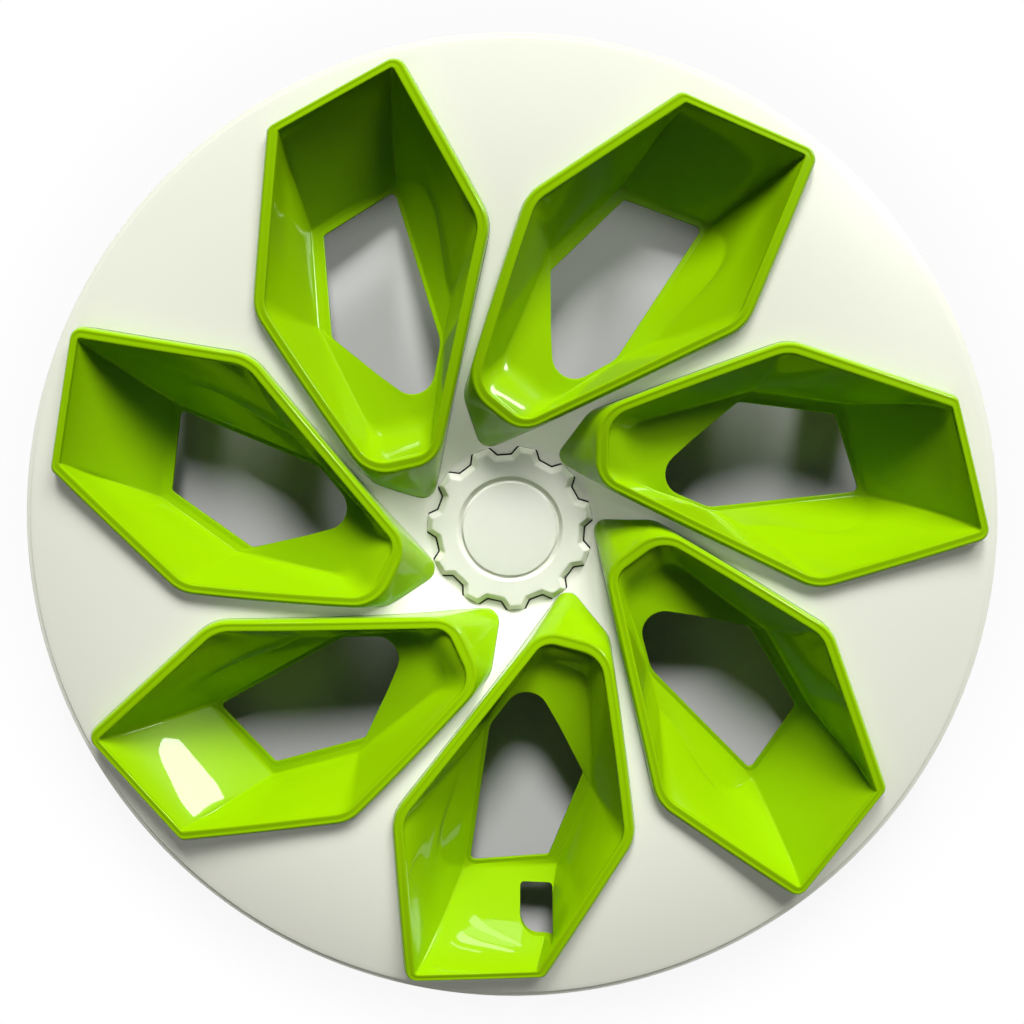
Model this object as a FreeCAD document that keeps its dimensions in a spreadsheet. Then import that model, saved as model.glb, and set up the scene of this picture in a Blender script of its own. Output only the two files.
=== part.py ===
import FreeCAD, Part
import math
import os
import Sketcher
from FreeCAD import Placement, Rotation, Vector

# Wheel cover for an 18-inch wheel: a dished white disc, seven green pocket inserts that stand
# proud of it, a gear-shaped centre cap, a wire ring held by clip fingers and the insert screws.
# Frame: origin on the wheel's axis in the plane where the disc's edge rests on the rim, +Z out of
# the front. A pocket is drawn along +X and turned to its place: "along" runs outward from the axis
# and "across" sideways, anticlockwise seen from the front. Its corners, in anticlockwise order,
# are the heel, the trailing corner, the two nose corners, the leading corner and the tip.

POCKETS = 7
CAP_TEETH = 11
VALVE_POCKET_ANGLE = -90.0
PITCH = 360.0 / POCKETS
FLUSH = 0.01
DRAWN_DIAMETER = 470.0

SIZES = [
    # Face disc
    ("cover_diameter", 470.0),
    ("disc_wall", 2.5),
    ("edge_band", 2.5),
    ("edge_step", 0.8),
    ("dish_angle", 39.0),
    # Rim of a pocket insert
    ("rim_lip", 1.5),
    ("rim_edge_round", 1.2),
    ("rim_bevel", 0.5),
    ("scoop_share", 0.3),
    ("insert_wall", 2.5),
    ("insert_clearance", 0.3),
    ("skirt_reach", 6.0),
    # Rim outline corners and their rounding
    ("nose_trail_draft", 18.5),
    ("nose_lead_draft", 39.7),
    # Hole through the pocket floor, on one sloping plane
    ("hole_rise_along", 11.4),
    ("hole_rise_across", 3.4),
    # Valve cut-out in one pocket
    ("valve_length", 27.0),
    ("valve_width", 16.5),
    ("valve_round", 2.0),
    ("valve_big_round", 9.0),
    # Screw tabs, bosses and screws
    ("boss_offset", 7.5),
    ("boss_diameter", 8.0),
    ("tab_thickness", 2.5),
    ("tab_width", 10.0),
    ("screw_diameter", 3.0),
    ("screw_length", 8.0),
    ("screw_head_diameter", 7.0),
    ("screw_head_height", 2.4),
    ("screw_fit", 0.1),
    # Clip fingers and tension ring
    ("clip_angle", 29.0),
    ("clip_foot_depth", 37.5),
    ("clip_width", 24.0),
    ("clip_wall", 3.0),
    ("clip_rib_length", 17.0),
    ("clip_rib_spread", 18.0),
    ("clip_barb_depth", 12.0),
    ("clip_barb_height", 12.0),
    ("clip_barb_reach", 4.0),
    ("ring_depth", 30.5),
    ("wire_diameter", 3.2),
    ("wire_fit", 0.15),
    ("wire_mouth", 2.6),
    ("ring_notch_depth", 25.0),
    ("ring_notch_width", 26.0),
    ("ring_bend", 7.0),
    # Centre cap and emblem disc
    ("cap_turn", 12.5),
    ("cap_height", 4.0),
    ("cap_draft", 35.0),
    ("cap_recess_depth", 1.6),
    ("cap_collar_length", 6.0),
    ("cap_collar_wall", 2.0),
    ("cap_snap", 0.8),
    ("cap_fit", 0.2),
    ("emblem_edge_height", 0.5),
    ("emblem_height", 1.4),
]

# Sizes drawn for a cover of the drawn diameter, which grow and shrink with it
COVER_SIZES = [
    # Face disc
    ("crown_radius", 158.0),
    ("crown_height", 12.0),
    ("crown_curve", 340.0),
    ("seat_width", 5.0),
    ("dish_start_radius", 75.0),
    ("dish_shoulder_curve", 60.0),
    ("hub_depth", 18.5),
    ("hub_blend", 3.0),
    ("hub_hole_diameter", 56.0),
    # Rim of a pocket insert
    ("rim_crown_radius", 160.0),
    ("rim_crown_height", 17.0),
    ("rim_crown_curve", 610.0),
    ("rim_width", 4.4),
    ("rim_end_width", 7.0),
    ("scoop_out", 4.5),
    ("scoop_drop", 3.0),
    # Rim outline corners and their rounding
    ("heel_margin", 14.3),
    ("heel_across", 17.5),
    ("heel_round", 4.0),
    ("trail_along", 147.5),
    ("trail_across", 61.5),
    ("trail_round", 20.0),
    ("trail_bow", 2.4),
    ("nose_trail_along", 52.8),
    ("nose_trail_across", 49.4),
    ("nose_trail_round", 7.0),
    ("nose_lead_along", 44.8),
    ("nose_lead_across", 15.9),
    ("nose_lead_round", 8.2),
    ("lead_along", 137.0),
    ("lead_across", 57.5),
    ("lead_round", 22.0),
    ("tip_margin", 5.8),
    ("tip_across", 53.0),
    ("tip_round", 5.0),
    # Floor line inside the pocket
    ("floor_heel_along", 174.5),
    ("floor_heel_across", 24.4),
    ("floor_heel_depth", 19.5),
    ("floor_trail_along", 129.9),
    ("floor_trail_across", 41.0),
    ("floor_trail_depth", 9.0),
    ("floor_end_trail_along", 71.7),
    ("floor_end_trail_across", 39.1),
    ("floor_end_lead_along", 65.4),
    ("floor_end_lead_across", 9.8),
    ("floor_end_depth", 1.5),
    ("floor_lead_along", 114.0),
    ("floor_lead_across", 23.7),
    ("floor_lead_depth", 8.0),
    ("floor_lead_bow", 6.0),
    ("floor_tip_along", 178.0),
    ("floor_tip_across", 24.5),
    ("floor_tip_depth", 22.0),
    ("floor_round", 4.0),
    ("floor_end_round", 9.0),
    # Hole through the pocket floor, on one sloping plane
    ("hole_heel_along", 169.5),
    ("hole_heel_across", 19.8),
    ("hole_heel_depth", 20.4),
    ("hole_trail_along", 122.5),
    ("hole_trail_across", 37.0),
    ("hole_side_along", 96.5),
    ("hole_side_across", 24.2),
    ("hole_side_round", 60.0),
    ("hole_end_along", 70.4),
    ("hole_end_across", 9.9),
    ("hole_end_round", 10.8),
    ("hole_lead_along", 97.8),
    ("hole_lead_across", 10.0),
    ("hole_lead_round", 15.0),
    ("hole_tip_along", 174.0),
    ("hole_tip_across", 20.8),
    ("hole_round", 3.0),
    # Valve cut-out in one pocket
    ("valve_along", 196.0),
    ("valve_across", 13.5),
    # Screw tabs, bosses and screws
    ("lead_boss_along", 185.0),
    ("trail_boss_along", 190.0),
    ("boss_end_level", 3.0),
    # Clip fingers and tension ring
    ("ring_radius", 203.0),
    # Centre cap and emblem disc
    ("cap_tip_radius", 40.0),
    ("cap_root_radius", 36.4),
    ("cap_tooth_tip_width", 8.5),
    ("cap_tooth_root_width", 14.0),
    ("cap_recess_diameter", 51.4),
    ("emblem_face_diameter", 45.0),
]

doc = FreeCAD.newDocument("wheel_cover")
sheet = doc.addObject("Spreadsheet::Sheet", "sizes")
following = [(alias, f"={number} * cover_diameter / {DRAWN_DIAMETER}") for alias, number in COVER_SIZES]
for row, (alias, content) in enumerate(SIZES + following, start=1):
    sheet.set(f"A{row}", alias)
    sheet.set(f"B{row}", str(content))
    sheet.setAlias(f"B{row}", alias)
doc.recompute()


def size(alias):
    """A driving dimension, read back from the sheet."""
    return float(sheet.get(alias))


def add_shape(name, shape):
    """A document object that holds a shape worked out from the sheet."""
    feature = doc.addObject("Part::Feature", name)
    feature.Shape = shape
    return feature


def turned(name, source, angle):
    """A copy of an object turned about the wheel's axis."""
    feature = add_shape(name, source.Shape)
    feature.Placement = Placement(Vector(0, 0, 0), Rotation(Vector(0, 0, 1), angle))
    return feature


def boolean(kind, name, base, tool):
    """Part::Cut or Part::Common of two objects."""
    result = doc.addObject(kind, name)
    result.Base = base
    result.Tool = tool
    return result


def fused(name, parts):
    result = doc.addObject("Part::MultiFuse", name)
    result.Shapes = parts
    return result


def bind(feature, **sizes):
    """Ties properties of an object to cells of the sheet."""
    for name, expression in sizes.items():
        feature.setExpression(name.replace("__", "."), expression)
    return feature


# Outlines with rounded corners

def inset(corners, widths):
    """Moves each side of a plan outline inward by its own width."""
    count = len(corners)
    sides = []
    for i in range(count):
        run = corners[(i + 1) % count] - corners[i]
        run = Vector(run.x, run.y, 0).normalize()
        inward = Vector(-run.y, run.x, 0)
        sides.append((corners[i] + inward * widths[i], run))
    moved = []
    for i in range(count):
        start, back = sides[i - 1]
        other, forth = sides[i]
        gap = other - start
        reach = (gap.x * forth.y - gap.y * forth.x) / (back.x * forth.y - back.y * forth.x)
        moved.append(Vector(start.x + back.x * reach, start.y + back.y * reach, corners[i].z))
    return moved


def rounded_wire(corners, radii, bows):
    """A closed wire with an arc at each corner and a side after it. A side with a bow is an arc
    whose middle stands that far outward in plan."""
    count = len(corners)
    arcs = []
    for i in range(count):
        back = (corners[i - 1] - corners[i]).normalize()
        forth = (corners[(i + 1) % count] - corners[i]).normalize()
        half = back.getAngle(forth) / 2
        reach = radii[i] / math.tan(half)
        bulge = radii[i] / math.sin(half) - radii[i]
        middle = (back + forth).normalize()
        arcs.append((corners[i] + back * reach, corners[i] + middle * bulge, corners[i] + forth * reach))
    edges = []
    for i in range(count):
        side_start = arcs[i][2]
        side_end = arcs[(i + 1) % count][0]
        edges.append(Part.Arc(*arcs[i]).toShape())
        if bows[i]:
            run = side_end - side_start
            outward = Vector(run.y, -run.x, 0).normalize()
            middle = (side_start + side_end) * 0.5 + outward * bows[i]
            edges.append(Part.Arc(side_start, middle, side_end).toShape())
        else:
            edges.append(Part.LineSegment(side_start, side_end).toShape())
    return Part.Wire(edges)


def at_level(corners, level):
    return [Vector(corner.x, corner.y, level) for corner in corners]


def lowered(corners, drop):
    return [corner - Vector(0, 0, drop) for corner in corners]


def ruled_solid(name, wires):
    """A closed solid ruled from wire to wire."""
    loft = doc.addObject("Part::Loft", name)
    loft.Sections = [add_shape(f"{name}_section_{i + 1}", wire) for i, wire in enumerate(wires)]
    loft.Solid = True
    loft.Ruled = True
    return loft


# Sections of revolution about the wheel's axis

disc_radius = size("cover_diameter") / 2
hub_hole_radius = size("hub_hole_diameter") / 2
axis_margin = hub_hole_radius / 2
deep_level = -2 * size("clip_foot_depth")
high_level = 2 * size("rim_crown_height")


def crown(prefix, radius, offset=0.0):
    """Height of a circular crown, moved in by an offset square to it, at a radius."""
    curve = size(prefix + "crown_curve")
    rise = math.sqrt((curve - offset) ** 2 - (radius - size(prefix + "crown_radius")) ** 2)
    return size(prefix + "crown_height") - curve + rise


def disc_line(offset, outer):
    """The disc's section at an offset below its front: crown arc, shoulder arc, cone and hub
    blend, from an outer radius in to the hub floor."""
    start = size("dish_start_radius")
    curve = size("dish_shoulder_curve")
    lean = math.asin((size("crown_radius") - start) / size("crown_curve"))
    steep = math.radians(size("dish_angle"))
    centre = Vector(start + curve * math.sin(lean), 0, crown("", start) - curve * math.cos(lean))

    def shoulder(angle):
        return centre + Vector(-math.sin(angle), 0, math.cos(angle)) * (curve - offset)

    floor = -size("hub_depth") - offset
    blend = size("hub_blend") + offset
    cone_top = shoulder(steep)
    meet = cone_top.x - (cone_top.z - floor) / math.tan(steep)
    blend_centre = Vector(meet - blend * math.tan(steep / 2), 0, floor + blend)

    def blended(angle):
        return blend_centre + Vector(math.sin(angle), 0, -math.cos(angle)) * blend

    crown_inner = shoulder(lean)
    crown_outer = Vector(outer, 0, crown("", outer, offset))
    between = (outer + crown_inner.x) / 2
    crown_middle = Vector(between, 0, crown("", between, offset))
    edges = [
        Part.Arc(crown_outer, crown_middle, crown_inner),
        Part.Arc(crown_inner, shoulder((lean + steep) / 2), cone_top),
        Part.LineSegment(cone_top, blended(steep)),
        Part.Arc(blended(steep), blended(steep / 2), blended(0.0)),
    ]
    return edges, crown_outer, blended(0.0)


def chain(points):
    return [Part.LineSegment(start, end) for start, end in zip(points, points[1:])]


def revolved(name, edges):
    """A solid of revolution from a closed section."""
    face = Part.Face(Part.Wire(Part.__sortEdges__([edge.toShape() for edge in edges])))
    solid = doc.addObject("Part::Revolution", name)
    solid.Source = add_shape(f"{name}_section", face)
    solid.Axis = Vector(0, 0, 1)
    solid.Angle = 360.0
    solid.Solid = True
    return solid


def under_disc(name, offset):
    """All the room behind the disc's front moved in by an offset."""
    edges, outer, inner = disc_line(offset, disc_radius)
    corners = [
        inner,
        Vector(axis_margin, 0, inner.z),
        Vector(axis_margin, 0, deep_level),
        Vector(disc_radius, 0, deep_level),
        outer,
    ]
    return revolved(name, edges + chain(corners))


def under_rim(name, drop):
    """All the room below the crowned top of the pocket rims, lowered by a drop."""
    reach = [disc_radius, (disc_radius + axis_margin) / 2, axis_margin]
    outer, middle, inner = [Vector(radius, 0, crown("rim_", radius) - drop) for radius in reach]
    corners = [inner, Vector(axis_margin, 0, deep_level), Vector(disc_radius, 0, deep_level), outer]
    return revolved(name, [Part.Arc(outer, middle, inner)] + chain(corners))


# Pocket insert

SIDES = 6
straight = [0.0] * SIDES
edge_heel = disc_radius - size("heel_margin")
edge_tip = disc_radius - size("tip_margin")
heel = Vector(math.sqrt(edge_heel ** 2 - size("heel_across") ** 2), size("heel_across"), 0)
tip = Vector(math.sqrt(edge_tip ** 2 - size("tip_across") ** 2), -size("tip_across"), 0)
trail = Vector(size("trail_along"), size("trail_across"), 0)
lead = Vector(size("lead_along"), -size("lead_across"), 0)
nose_trail = Vector(size("nose_trail_along"), size("nose_trail_across"), 0)
nose_lead = Vector(size("nose_lead_along"), size("nose_lead_across"), 0)
nose_level = crown("rim_", nose_lead.Length)
rim_corners = [heel, trail, nose_trail, nose_lead, lead, tip]
rim_rounds = [size(name + "_round") for name in ("heel", "trail", "nose_trail", "nose_lead", "lead", "tip")]
rim_bows = [0.0, size("trail_bow"), 0.0, 0.0, 0.0, 0.0]


def skirt_corners(level):
    """The outside of an insert at a level: upright sides, and a nose whose two corners run on
    along their sides as it goes down."""
    drop = nose_level - level
    lead_run = (nose_lead - lead).normalize() * (drop * math.tan(math.radians(size("nose_lead_draft"))))
    trail_run = (nose_trail - trail).normalize() * (drop * math.tan(math.radians(size("nose_trail_draft"))))
    return at_level([heel, trail, nose_trail + trail_run, nose_lead + lead_run, lead, tip], level)


def skirt_solid(name, grow):
    """The plug inside an insert's outside, grown by a width all round."""
    foot_level = -size("hub_depth") - size("disc_wall") - size("skirt_reach")
    wires = []
    for level in (size("rim_crown_height") + size("insert_wall"), foot_level):
        corners = inset(skirt_corners(level), [-grow] * SIDES)
        rounds = [radius + grow for radius in rim_rounds]
        wires.append(rounded_wire(corners, rounds, rim_bows))
    return ruled_solid(name, wires)


def rim_level(corners, drop):
    """Outline corners at the height of the rim's crown, less a drop."""
    return [Vector(c.x, c.y, crown("rim_", math.hypot(c.x, c.y)) - drop) for c in corners]


rim_widths = [size("rim_width")] * SIDES
rim_widths[2] = size("rim_end_width")
mouth_corners = inset(rim_corners, rim_widths)
mouth_rounds = [max(radius - size("rim_width"), size("rim_lip")) for radius in rim_rounds]

floor_corners = [
    Vector(size("floor_heel_along"), size("floor_heel_across"), -size("floor_heel_depth")),
    Vector(size("floor_trail_along"), size("floor_trail_across"), -size("floor_trail_depth")),
    Vector(size("floor_end_trail_along"), size("floor_end_trail_across"), -size("floor_end_depth")),
    Vector(size("floor_end_lead_along"), size("floor_end_lead_across"), -size("floor_end_depth")),
    Vector(size("floor_lead_along"), -size("floor_lead_across"), -size("floor_lead_depth")),
    Vector(size("floor_tip_along"), -size("floor_tip_across"), -size("floor_tip_depth")),
]
floor_rounds = [size("floor_round")] * 2 + [size("floor_end_round")] * 2 + [size("floor_round")] * 2
floor_bows = [0.0, 0.0, 0.0, 0.0, size("floor_lead_bow"), 0.0]



def part_way(mouth_values, floor_values):
    """Values a share of the way down from the mouth to the floor line."""
    share = size("scoop_share")
    return [top * (1 - share) + low * share for top, low in zip(mouth_values, floor_values)]


scoop_corners = part_way(rim_level(mouth_corners, 0.0), floor_corners)
scoop_shift = Vector(size("scoop_out"), 0, -size("scoop_drop"))
for outer_corner in (0, SIDES - 1):
    scoop_corners[outer_corner] += scoop_shift
scoop_rounds = part_way(mouth_rounds, floor_rounds)
scoop_bows = part_way(rim_bows, floor_bows)

rise_along = math.tan(math.radians(size("hole_rise_along")))
rise_across = math.tan(math.radians(size("hole_rise_across")))


def on_hole_plane(along, across):
    """A point on the sloping plane of the hole: it rises towards the hub and sideways."""
    rise = (size("hole_heel_along") - along) * rise_along + (across - size("hole_heel_across")) * rise_across
    return Vector(along, across, rise - size("hole_heel_depth"))


hole_corners = [
    on_hole_plane(size("hole_heel_along"), size("hole_heel_across")),
    on_hole_plane(size("hole_trail_along"), size("hole_trail_across")),
    on_hole_plane(size("hole_side_along"), size("hole_side_across")),
    on_hole_plane(size("hole_end_along"), size("hole_end_across")),
    on_hole_plane(size("hole_lead_along"), -size("hole_lead_across")),
    on_hole_plane(size("hole_tip_along"), -size("hole_tip_across")),
]
hole_rounds = [
    size("hole_round"),
    size("hole_round"),
    size("hole_side_round"),
    size("hole_end_round"),
    size("hole_lead_round"),
    size("hole_round"),
]


def grown(corners, rounds, width):
    return inset(corners, [-width] * SIDES), [radius + width for radius in rounds]


def cup_solid(name):
    """The outside of the cup behind the rim: from just inside the rim's outline down to the floor
    line and the hole's edge, each a wall's thickness out and down."""
    wall = size("insert_wall")
    inside = inset(rim_corners, [size("rim_lip")] * SIDES)
    rounds = [max(radius - size("rim_lip"), size("rim_lip")) for radius in rim_rounds]
    scoop, scoop_turns = grown(scoop_corners, scoop_rounds, wall)
    floor, floor_turns = grown(floor_corners, floor_rounds, wall)
    hole, hole_turns = grown(hole_corners, hole_rounds, wall / 2)
    hole = [on_hole_plane(corner.x, corner.y) for corner in hole]
    return ruled_solid(name, [
        rounded_wire(at_level(inside, high_level), rounds, rim_bows),
        rounded_wire(rim_level(inside, wall), rounds, rim_bows),
        rounded_wire(lowered(scoop, wall / 2), scoop_turns, scoop_bows),
        rounded_wire(lowered(floor, wall), floor_turns, floor_bows),
        rounded_wire(lowered(hole, wall), hole_turns, straight),
    ])


def cavity_solid(name):
    """The room inside the pocket: a bevelled mouth, walls with a scoop in the outer end, the floor
    line and the hole in the floor."""
    bevel = size("rim_bevel")
    flared, flared_rounds = grown(mouth_corners, mouth_rounds, bevel)
    return ruled_solid(name, [
        rounded_wire(at_level(flared, high_level), flared_rounds, rim_bows),
        rounded_wire(rim_level(flared, 0.0), flared_rounds, rim_bows),
        rounded_wire(rim_level(mouth_corners, bevel), mouth_rounds, rim_bows),
        rounded_wire(rim_level(mouth_corners, size("rim_lip")), mouth_rounds, rim_bows),
        rounded_wire(scoop_corners, scoop_rounds, scoop_bows),
        rounded_wire(floor_corners, floor_rounds, floor_bows),
        rounded_wire(hole_corners, hole_rounds, straight),
        rounded_wire(lowered(hole_corners, 3 * size("insert_wall")), hole_rounds, straight),
    ])


def boss_place(start, end, along):
    """Centre of a screw boss beside the straight side from start to end."""
    share = (along - start.x) / (end.x - start.x)
    run = (end - start).normalize()
    outward = Vector(run.y, -run.x, 0)
    return start + (end - start) * share + outward * size("boss_offset"), outward


boss_places = [
    boss_place(lead, tip, size("lead_boss_along")),
    boss_place(heel, trail, size("trail_boss_along")),
]


def tab_solid(name, place, outward):
    """A round-ended tab from the cup's wall out over the screw boss."""
    half = size("tab_width") / 2
    root = place - outward * (size("boss_offset") + size("rim_width"))
    side = Vector(-outward.y, outward.x, 0) * half
    edges = [
        Part.LineSegment(place + side, root + side),
        Part.LineSegment(root + side, root - side),
        Part.LineSegment(root - side, place - side),
        Part.Arc(place - side, place + outward * half, place + side),
    ]
    outline = Part.Face(Part.Wire([edge.toShape() for edge in edges]))
    tab = doc.addObject("Part::Extrusion", name)
    tab.Base = add_shape(f"{name}_outline", outline)
    tab.DirMode = "Custom"
    tab.Dir = Vector(0, 0, 1)
    tab.Solid = True
    bind(tab, LengthFwd="sizes.tab_thickness", Placement__Base__z="sizes.boss_end_level - sizes.tab_thickness")
    return tab


def drill(name, place, radius, height, level):
    hole = doc.addObject("Part::Cylinder", name)
    hole.Placement.Base = place
    bind(hole, Radius=radius, Height=height, Placement__Base__z=level)
    return hole


def valve_solid(name):
    """The upright cutter of the valve cut-out, with one large corner."""
    reach = size("valve_length") / 2
    half = size("valve_width") / 2
    centre = Vector(size("valve_along"), size("valve_across"), deep_level)
    corners = [centre + Vector(x * reach, y * half, 0) for x, y in ((-1, -1), (1, -1), (1, 1), (-1, 1))]
    rounds = [size("valve_round")] * 4
    rounds[1] = size("valve_big_round")
    cutter = doc.addObject("Part::Extrusion", name)
    cutter.Base = add_shape(f"{name}_outline", Part.Face(rounded_wire(corners, rounds, [0.0] * 4)))
    cutter.DirMode = "Custom"
    cutter.Dir = Vector(0, 0, 1)
    cutter.LengthFwd = high_level - deep_level
    cutter.Solid = True
    return cutter


behind_disc = under_disc("behind_disc", size("disc_wall") + size("skirt_reach"))
below_rim = under_rim("below_rim", 0.0)
inside_rim = under_rim("inside_rim", size("insert_wall"))

skirt_block = boolean("Part::Common", "skirt_block", skirt_solid("skirt_plug", 0.0), below_rim)
doc.recompute()
rim_edges = [
    number for number, edge in enumerate(skirt_block.Shape.Edges, start=1)
    if all(abs(point.z - crown("rim_", math.hypot(point.x, point.y))) < FLUSH for point in edge.discretize(5))
]
skirt = doc.addObject("Part::Fillet", "skirt")
skirt.Base = skirt_block
skirt.Edges = [(number, size("rim_edge_round"), size("rim_edge_round")) for number in rim_edges]
skirt_room = boolean("Part::Common", "skirt_room", skirt_solid("skirt_core", -size("insert_wall")), inside_rim)
skirt_wall = boolean("Part::Cut", "skirt_wall", skirt, skirt_room)
skirt_short = boolean("Part::Cut", "skirt_short", skirt_wall, behind_disc)
cup = boolean("Part::Common", "cup", cup_solid("cup_plug"), below_rim)
tabs = [tab_solid(f"tab_{i + 1}", *place) for i, place in enumerate(boss_places)]
moulding = fused("moulding", [skirt_short, cup] + tabs)
hollow = boolean("Part::Cut", "hollow", moulding, cavity_solid("cavity"))
tab_holes = fused("tab_holes", [
    drill(f"tab_hole_{i + 1}", place, "sizes.screw_diameter / 2 + sizes.screw_fit",
          "sizes.tab_thickness * 3", "sizes.boss_end_level - sizes.tab_thickness * 2")
    for i, (place, outward) in enumerate(boss_places)
])
insert = boolean("Part::Cut", "insert", hollow, tab_holes)
valve_insert = boolean("Part::Cut", "valve_insert", insert, valve_solid("valve_cutter"))
doc.recompute()

# Face disc

def flat(edge):
    """A section edge drawn in the plane of a sketch on XZ."""
    start = Vector(edge.StartPoint.x, edge.StartPoint.z, 0)
    end = Vector(edge.EndPoint.x, edge.EndPoint.z, 0)
    if isinstance(edge, Part.LineSegment):
        return Part.LineSegment(start, end)
    middle = edge.value((edge.FirstParameter + edge.LastParameter) / 2)
    return Part.Arc(start, Vector(middle.x, middle.z, 0), end)


def section_sketch(body, name, edges):
    """A closed section on a body's XZ plane, its pieces joined end to end."""
    sketch = body.newObject("Sketcher::SketchObject", name)
    plane = next(item for item in body.Origin.OriginFeatures if item.Role == "XZ_Plane")
    sketch.AttachmentSupport = (plane, [""])
    sketch.MapMode = "FlatFace"
    sketch.addGeometry([flat(edge) for edge in edges], False)
    for i in range(len(edges)):
        nxt = (i + 1) % len(edges)
        pairs = [(a, b) for a in (1, 2) for b in (1, 2)]
        gaps = [sketch.getPoint(i, a).distanceToPoint(sketch.getPoint(nxt, b)) for a, b in pairs]
        here, there = pairs[gaps.index(min(gaps))]
        sketch.addConstraint(Sketcher.Constraint("Coincident", i, here, nxt, there))
    return sketch


def hold(sketch, axis, place, expression):
    """Ties one end of a sketch piece to a cell, as its distance from the axis or the seat plane."""
    kind = "DistanceX" if axis == "x" else "DistanceY"
    point = sketch.getPoint(*place)
    value = point.x if axis == "x" else point.y
    index = sketch.addConstraint(Sketcher.Constraint(kind, -1, 1, place[0], place[1], value))
    sketch.setExpression(f"Constraints[{index}]", expression)


def revolve_body(name, edges, holds):
    """A body turned from one section, with its leading sizes tied to the sheet."""
    body = doc.addObject("PartDesign::Body", name)
    sketch = section_sketch(body, f"{name}_section", edges)
    for axis, place, expression in holds:
        hold(sketch, axis, place, expression)
    doc.recompute()
    turn = body.newObject("PartDesign::Revolution", f"{name}_turn")
    turn.Profile = sketch
    turn.ReferenceAxis = (sketch, ["V_Axis"])
    turn.Angle = 360.0
    body.Tip = turn
    return body


def mirrored_order(edges):
    """The same edges walked the other way."""
    walked = []
    for edge in reversed(edges):
        if isinstance(edge, Part.LineSegment):
            walked.append(Part.LineSegment(edge.EndPoint, edge.StartPoint))
        else:
            middle = edge.value((edge.FirstParameter + edge.LastParameter) / 2)
            walked.append(Part.Arc(edge.EndPoint, middle, edge.StartPoint))
    return walked


band_radius = disc_radius - size("edge_band")
seat_radius = disc_radius - size("seat_width")
front, front_outer, front_floor = disc_line(0.0, band_radius)
back, back_outer, back_floor = disc_line(size("disc_wall"), seat_radius - size("disc_wall") / 2)
edge_top = Vector(disc_radius, 0, crown("", disc_radius) - size("edge_step"))
band_foot = Vector(band_radius, 0, front_outer.z - size("edge_step"))
edge_corner = Vector(disc_radius, 0, 0)
disc_edges = chain([edge_corner, edge_top, band_foot, front_outer]) + front
disc_edges += chain([
    front_floor,
    Vector(hub_hole_radius, 0, front_floor.z),
    Vector(hub_hole_radius, 0, back_floor.z),
    back_floor,
])
disc_edges += mirrored_order(back) + chain([back_outer, Vector(seat_radius, 0, 0), edge_corner])
hub_side = 3 + len(front) + 1
disc_shell = revolve_body("disc_shell", disc_edges, [
    ("x", (0, 1), "sizes.cover_diameter / 2"),
    ("x", (hub_side, 1), "sizes.hub_hole_diameter / 2"),
    ("y", (hub_side, 1), "-sizes.hub_depth"),
])


def upright_prism(name, points, width):
    """A plate of constant width across, drawn by its section along the radius."""
    outline = Part.Face(Part.Wire([edge.toShape() for edge in chain(points + points[:1])]))
    prism = doc.addObject("Part::Extrusion", name)
    prism.Base = add_shape(f"{name}_outline", outline)
    prism.DirMode = "Custom"
    prism.Dir = Vector(0, 1, 0)
    prism.Symmetric = True
    prism.Solid = True
    return bind(prism, LengthFwd=width)


clip_face = size("ring_radius") + size("wire_diameter") / 2 - size("wire_fit")
clip_back = clip_face + size("clip_wall")
clip_foot = -size("clip_foot_depth")
clip_plate = upright_prism("clip_plate", [
    Vector(clip_face, 0, clip_foot),
    Vector(clip_back, 0, clip_foot),
    Vector(clip_back, 0, size("crown_height")),
    Vector(clip_face, 0, size("crown_height")),
], "sizes.clip_width")
clip_ribs = []
for i, side in enumerate((-1, 1)):
    rib = upright_prism(f"clip_rib_{i + 1}", [
        Vector(clip_face - size("clip_rib_length") / 2, 0, clip_foot),
        Vector(clip_face, 0, clip_foot),
        Vector(clip_face, 0, size("crown_height")),
        Vector(clip_face - size("clip_rib_length"), 0, size("crown_height")),
    ], "sizes.clip_wall")
    bind(rib, Placement__Base__y=f"{side} * sizes.clip_rib_spread / 2")
    clip_ribs.append(rib)
barb_top = -size("clip_barb_depth")
clip_barb = upright_prism("clip_barb", [
    Vector(clip_back, 0, barb_top - size("clip_barb_height")),
    Vector(clip_back + size("clip_barb_reach"), 0, barb_top - size("clip_barb_height") / 2),
    Vector(clip_back, 0, barb_top),
], "sizes.clip_width / 2")
clip_solid = fused("clip_solid", [clip_plate, clip_barb] + clip_ribs)
groove = doc.addObject("Part::Torus", "groove")
bind(groove, Radius1="sizes.ring_radius", Radius2="sizes.wire_diameter / 2 + sizes.wire_fit",
     Placement__Base__z="-sizes.ring_depth")
mouth = doc.addObject("Part::Cylinder", "mouth")
bind(mouth, Radius="sizes.ring_radius", Height="sizes.wire_mouth",
     Placement__Base__z="-sizes.ring_depth - sizes.wire_mouth / 2")
clip_finger = boolean("Part::Cut", "clip_finger", clip_solid, fused("wire_room", [groove, mouth]))
doc.recompute()

bosses = [
    drill(f"boss_{i + 1}", place, "sizes.boss_diameter / 2",
          "sizes.crown_height - sizes.boss_end_level", "sizes.boss_end_level")
    for i, (place, outward) in enumerate(boss_places)
]
pilots = fused("pilots", [
    drill(f"pilot_{i + 1}", place, "sizes.screw_diameter / 2",
          "sizes.screw_length - sizes.tab_thickness + sizes.screw_fit", "sizes.boss_end_level")
    for i, (place, outward) in enumerate(boss_places)
])
back_solids = fused("back_solids", [turned("clip_in_place", clip_finger, -size("clip_angle"))] + bosses)
back_trimmed = boolean("Part::Common", "back_trimmed", back_solids, under_disc("disc_middle", size("disc_wall") / 2))
opening = skirt_solid("opening", size("insert_clearance"))
doc.recompute()

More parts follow.
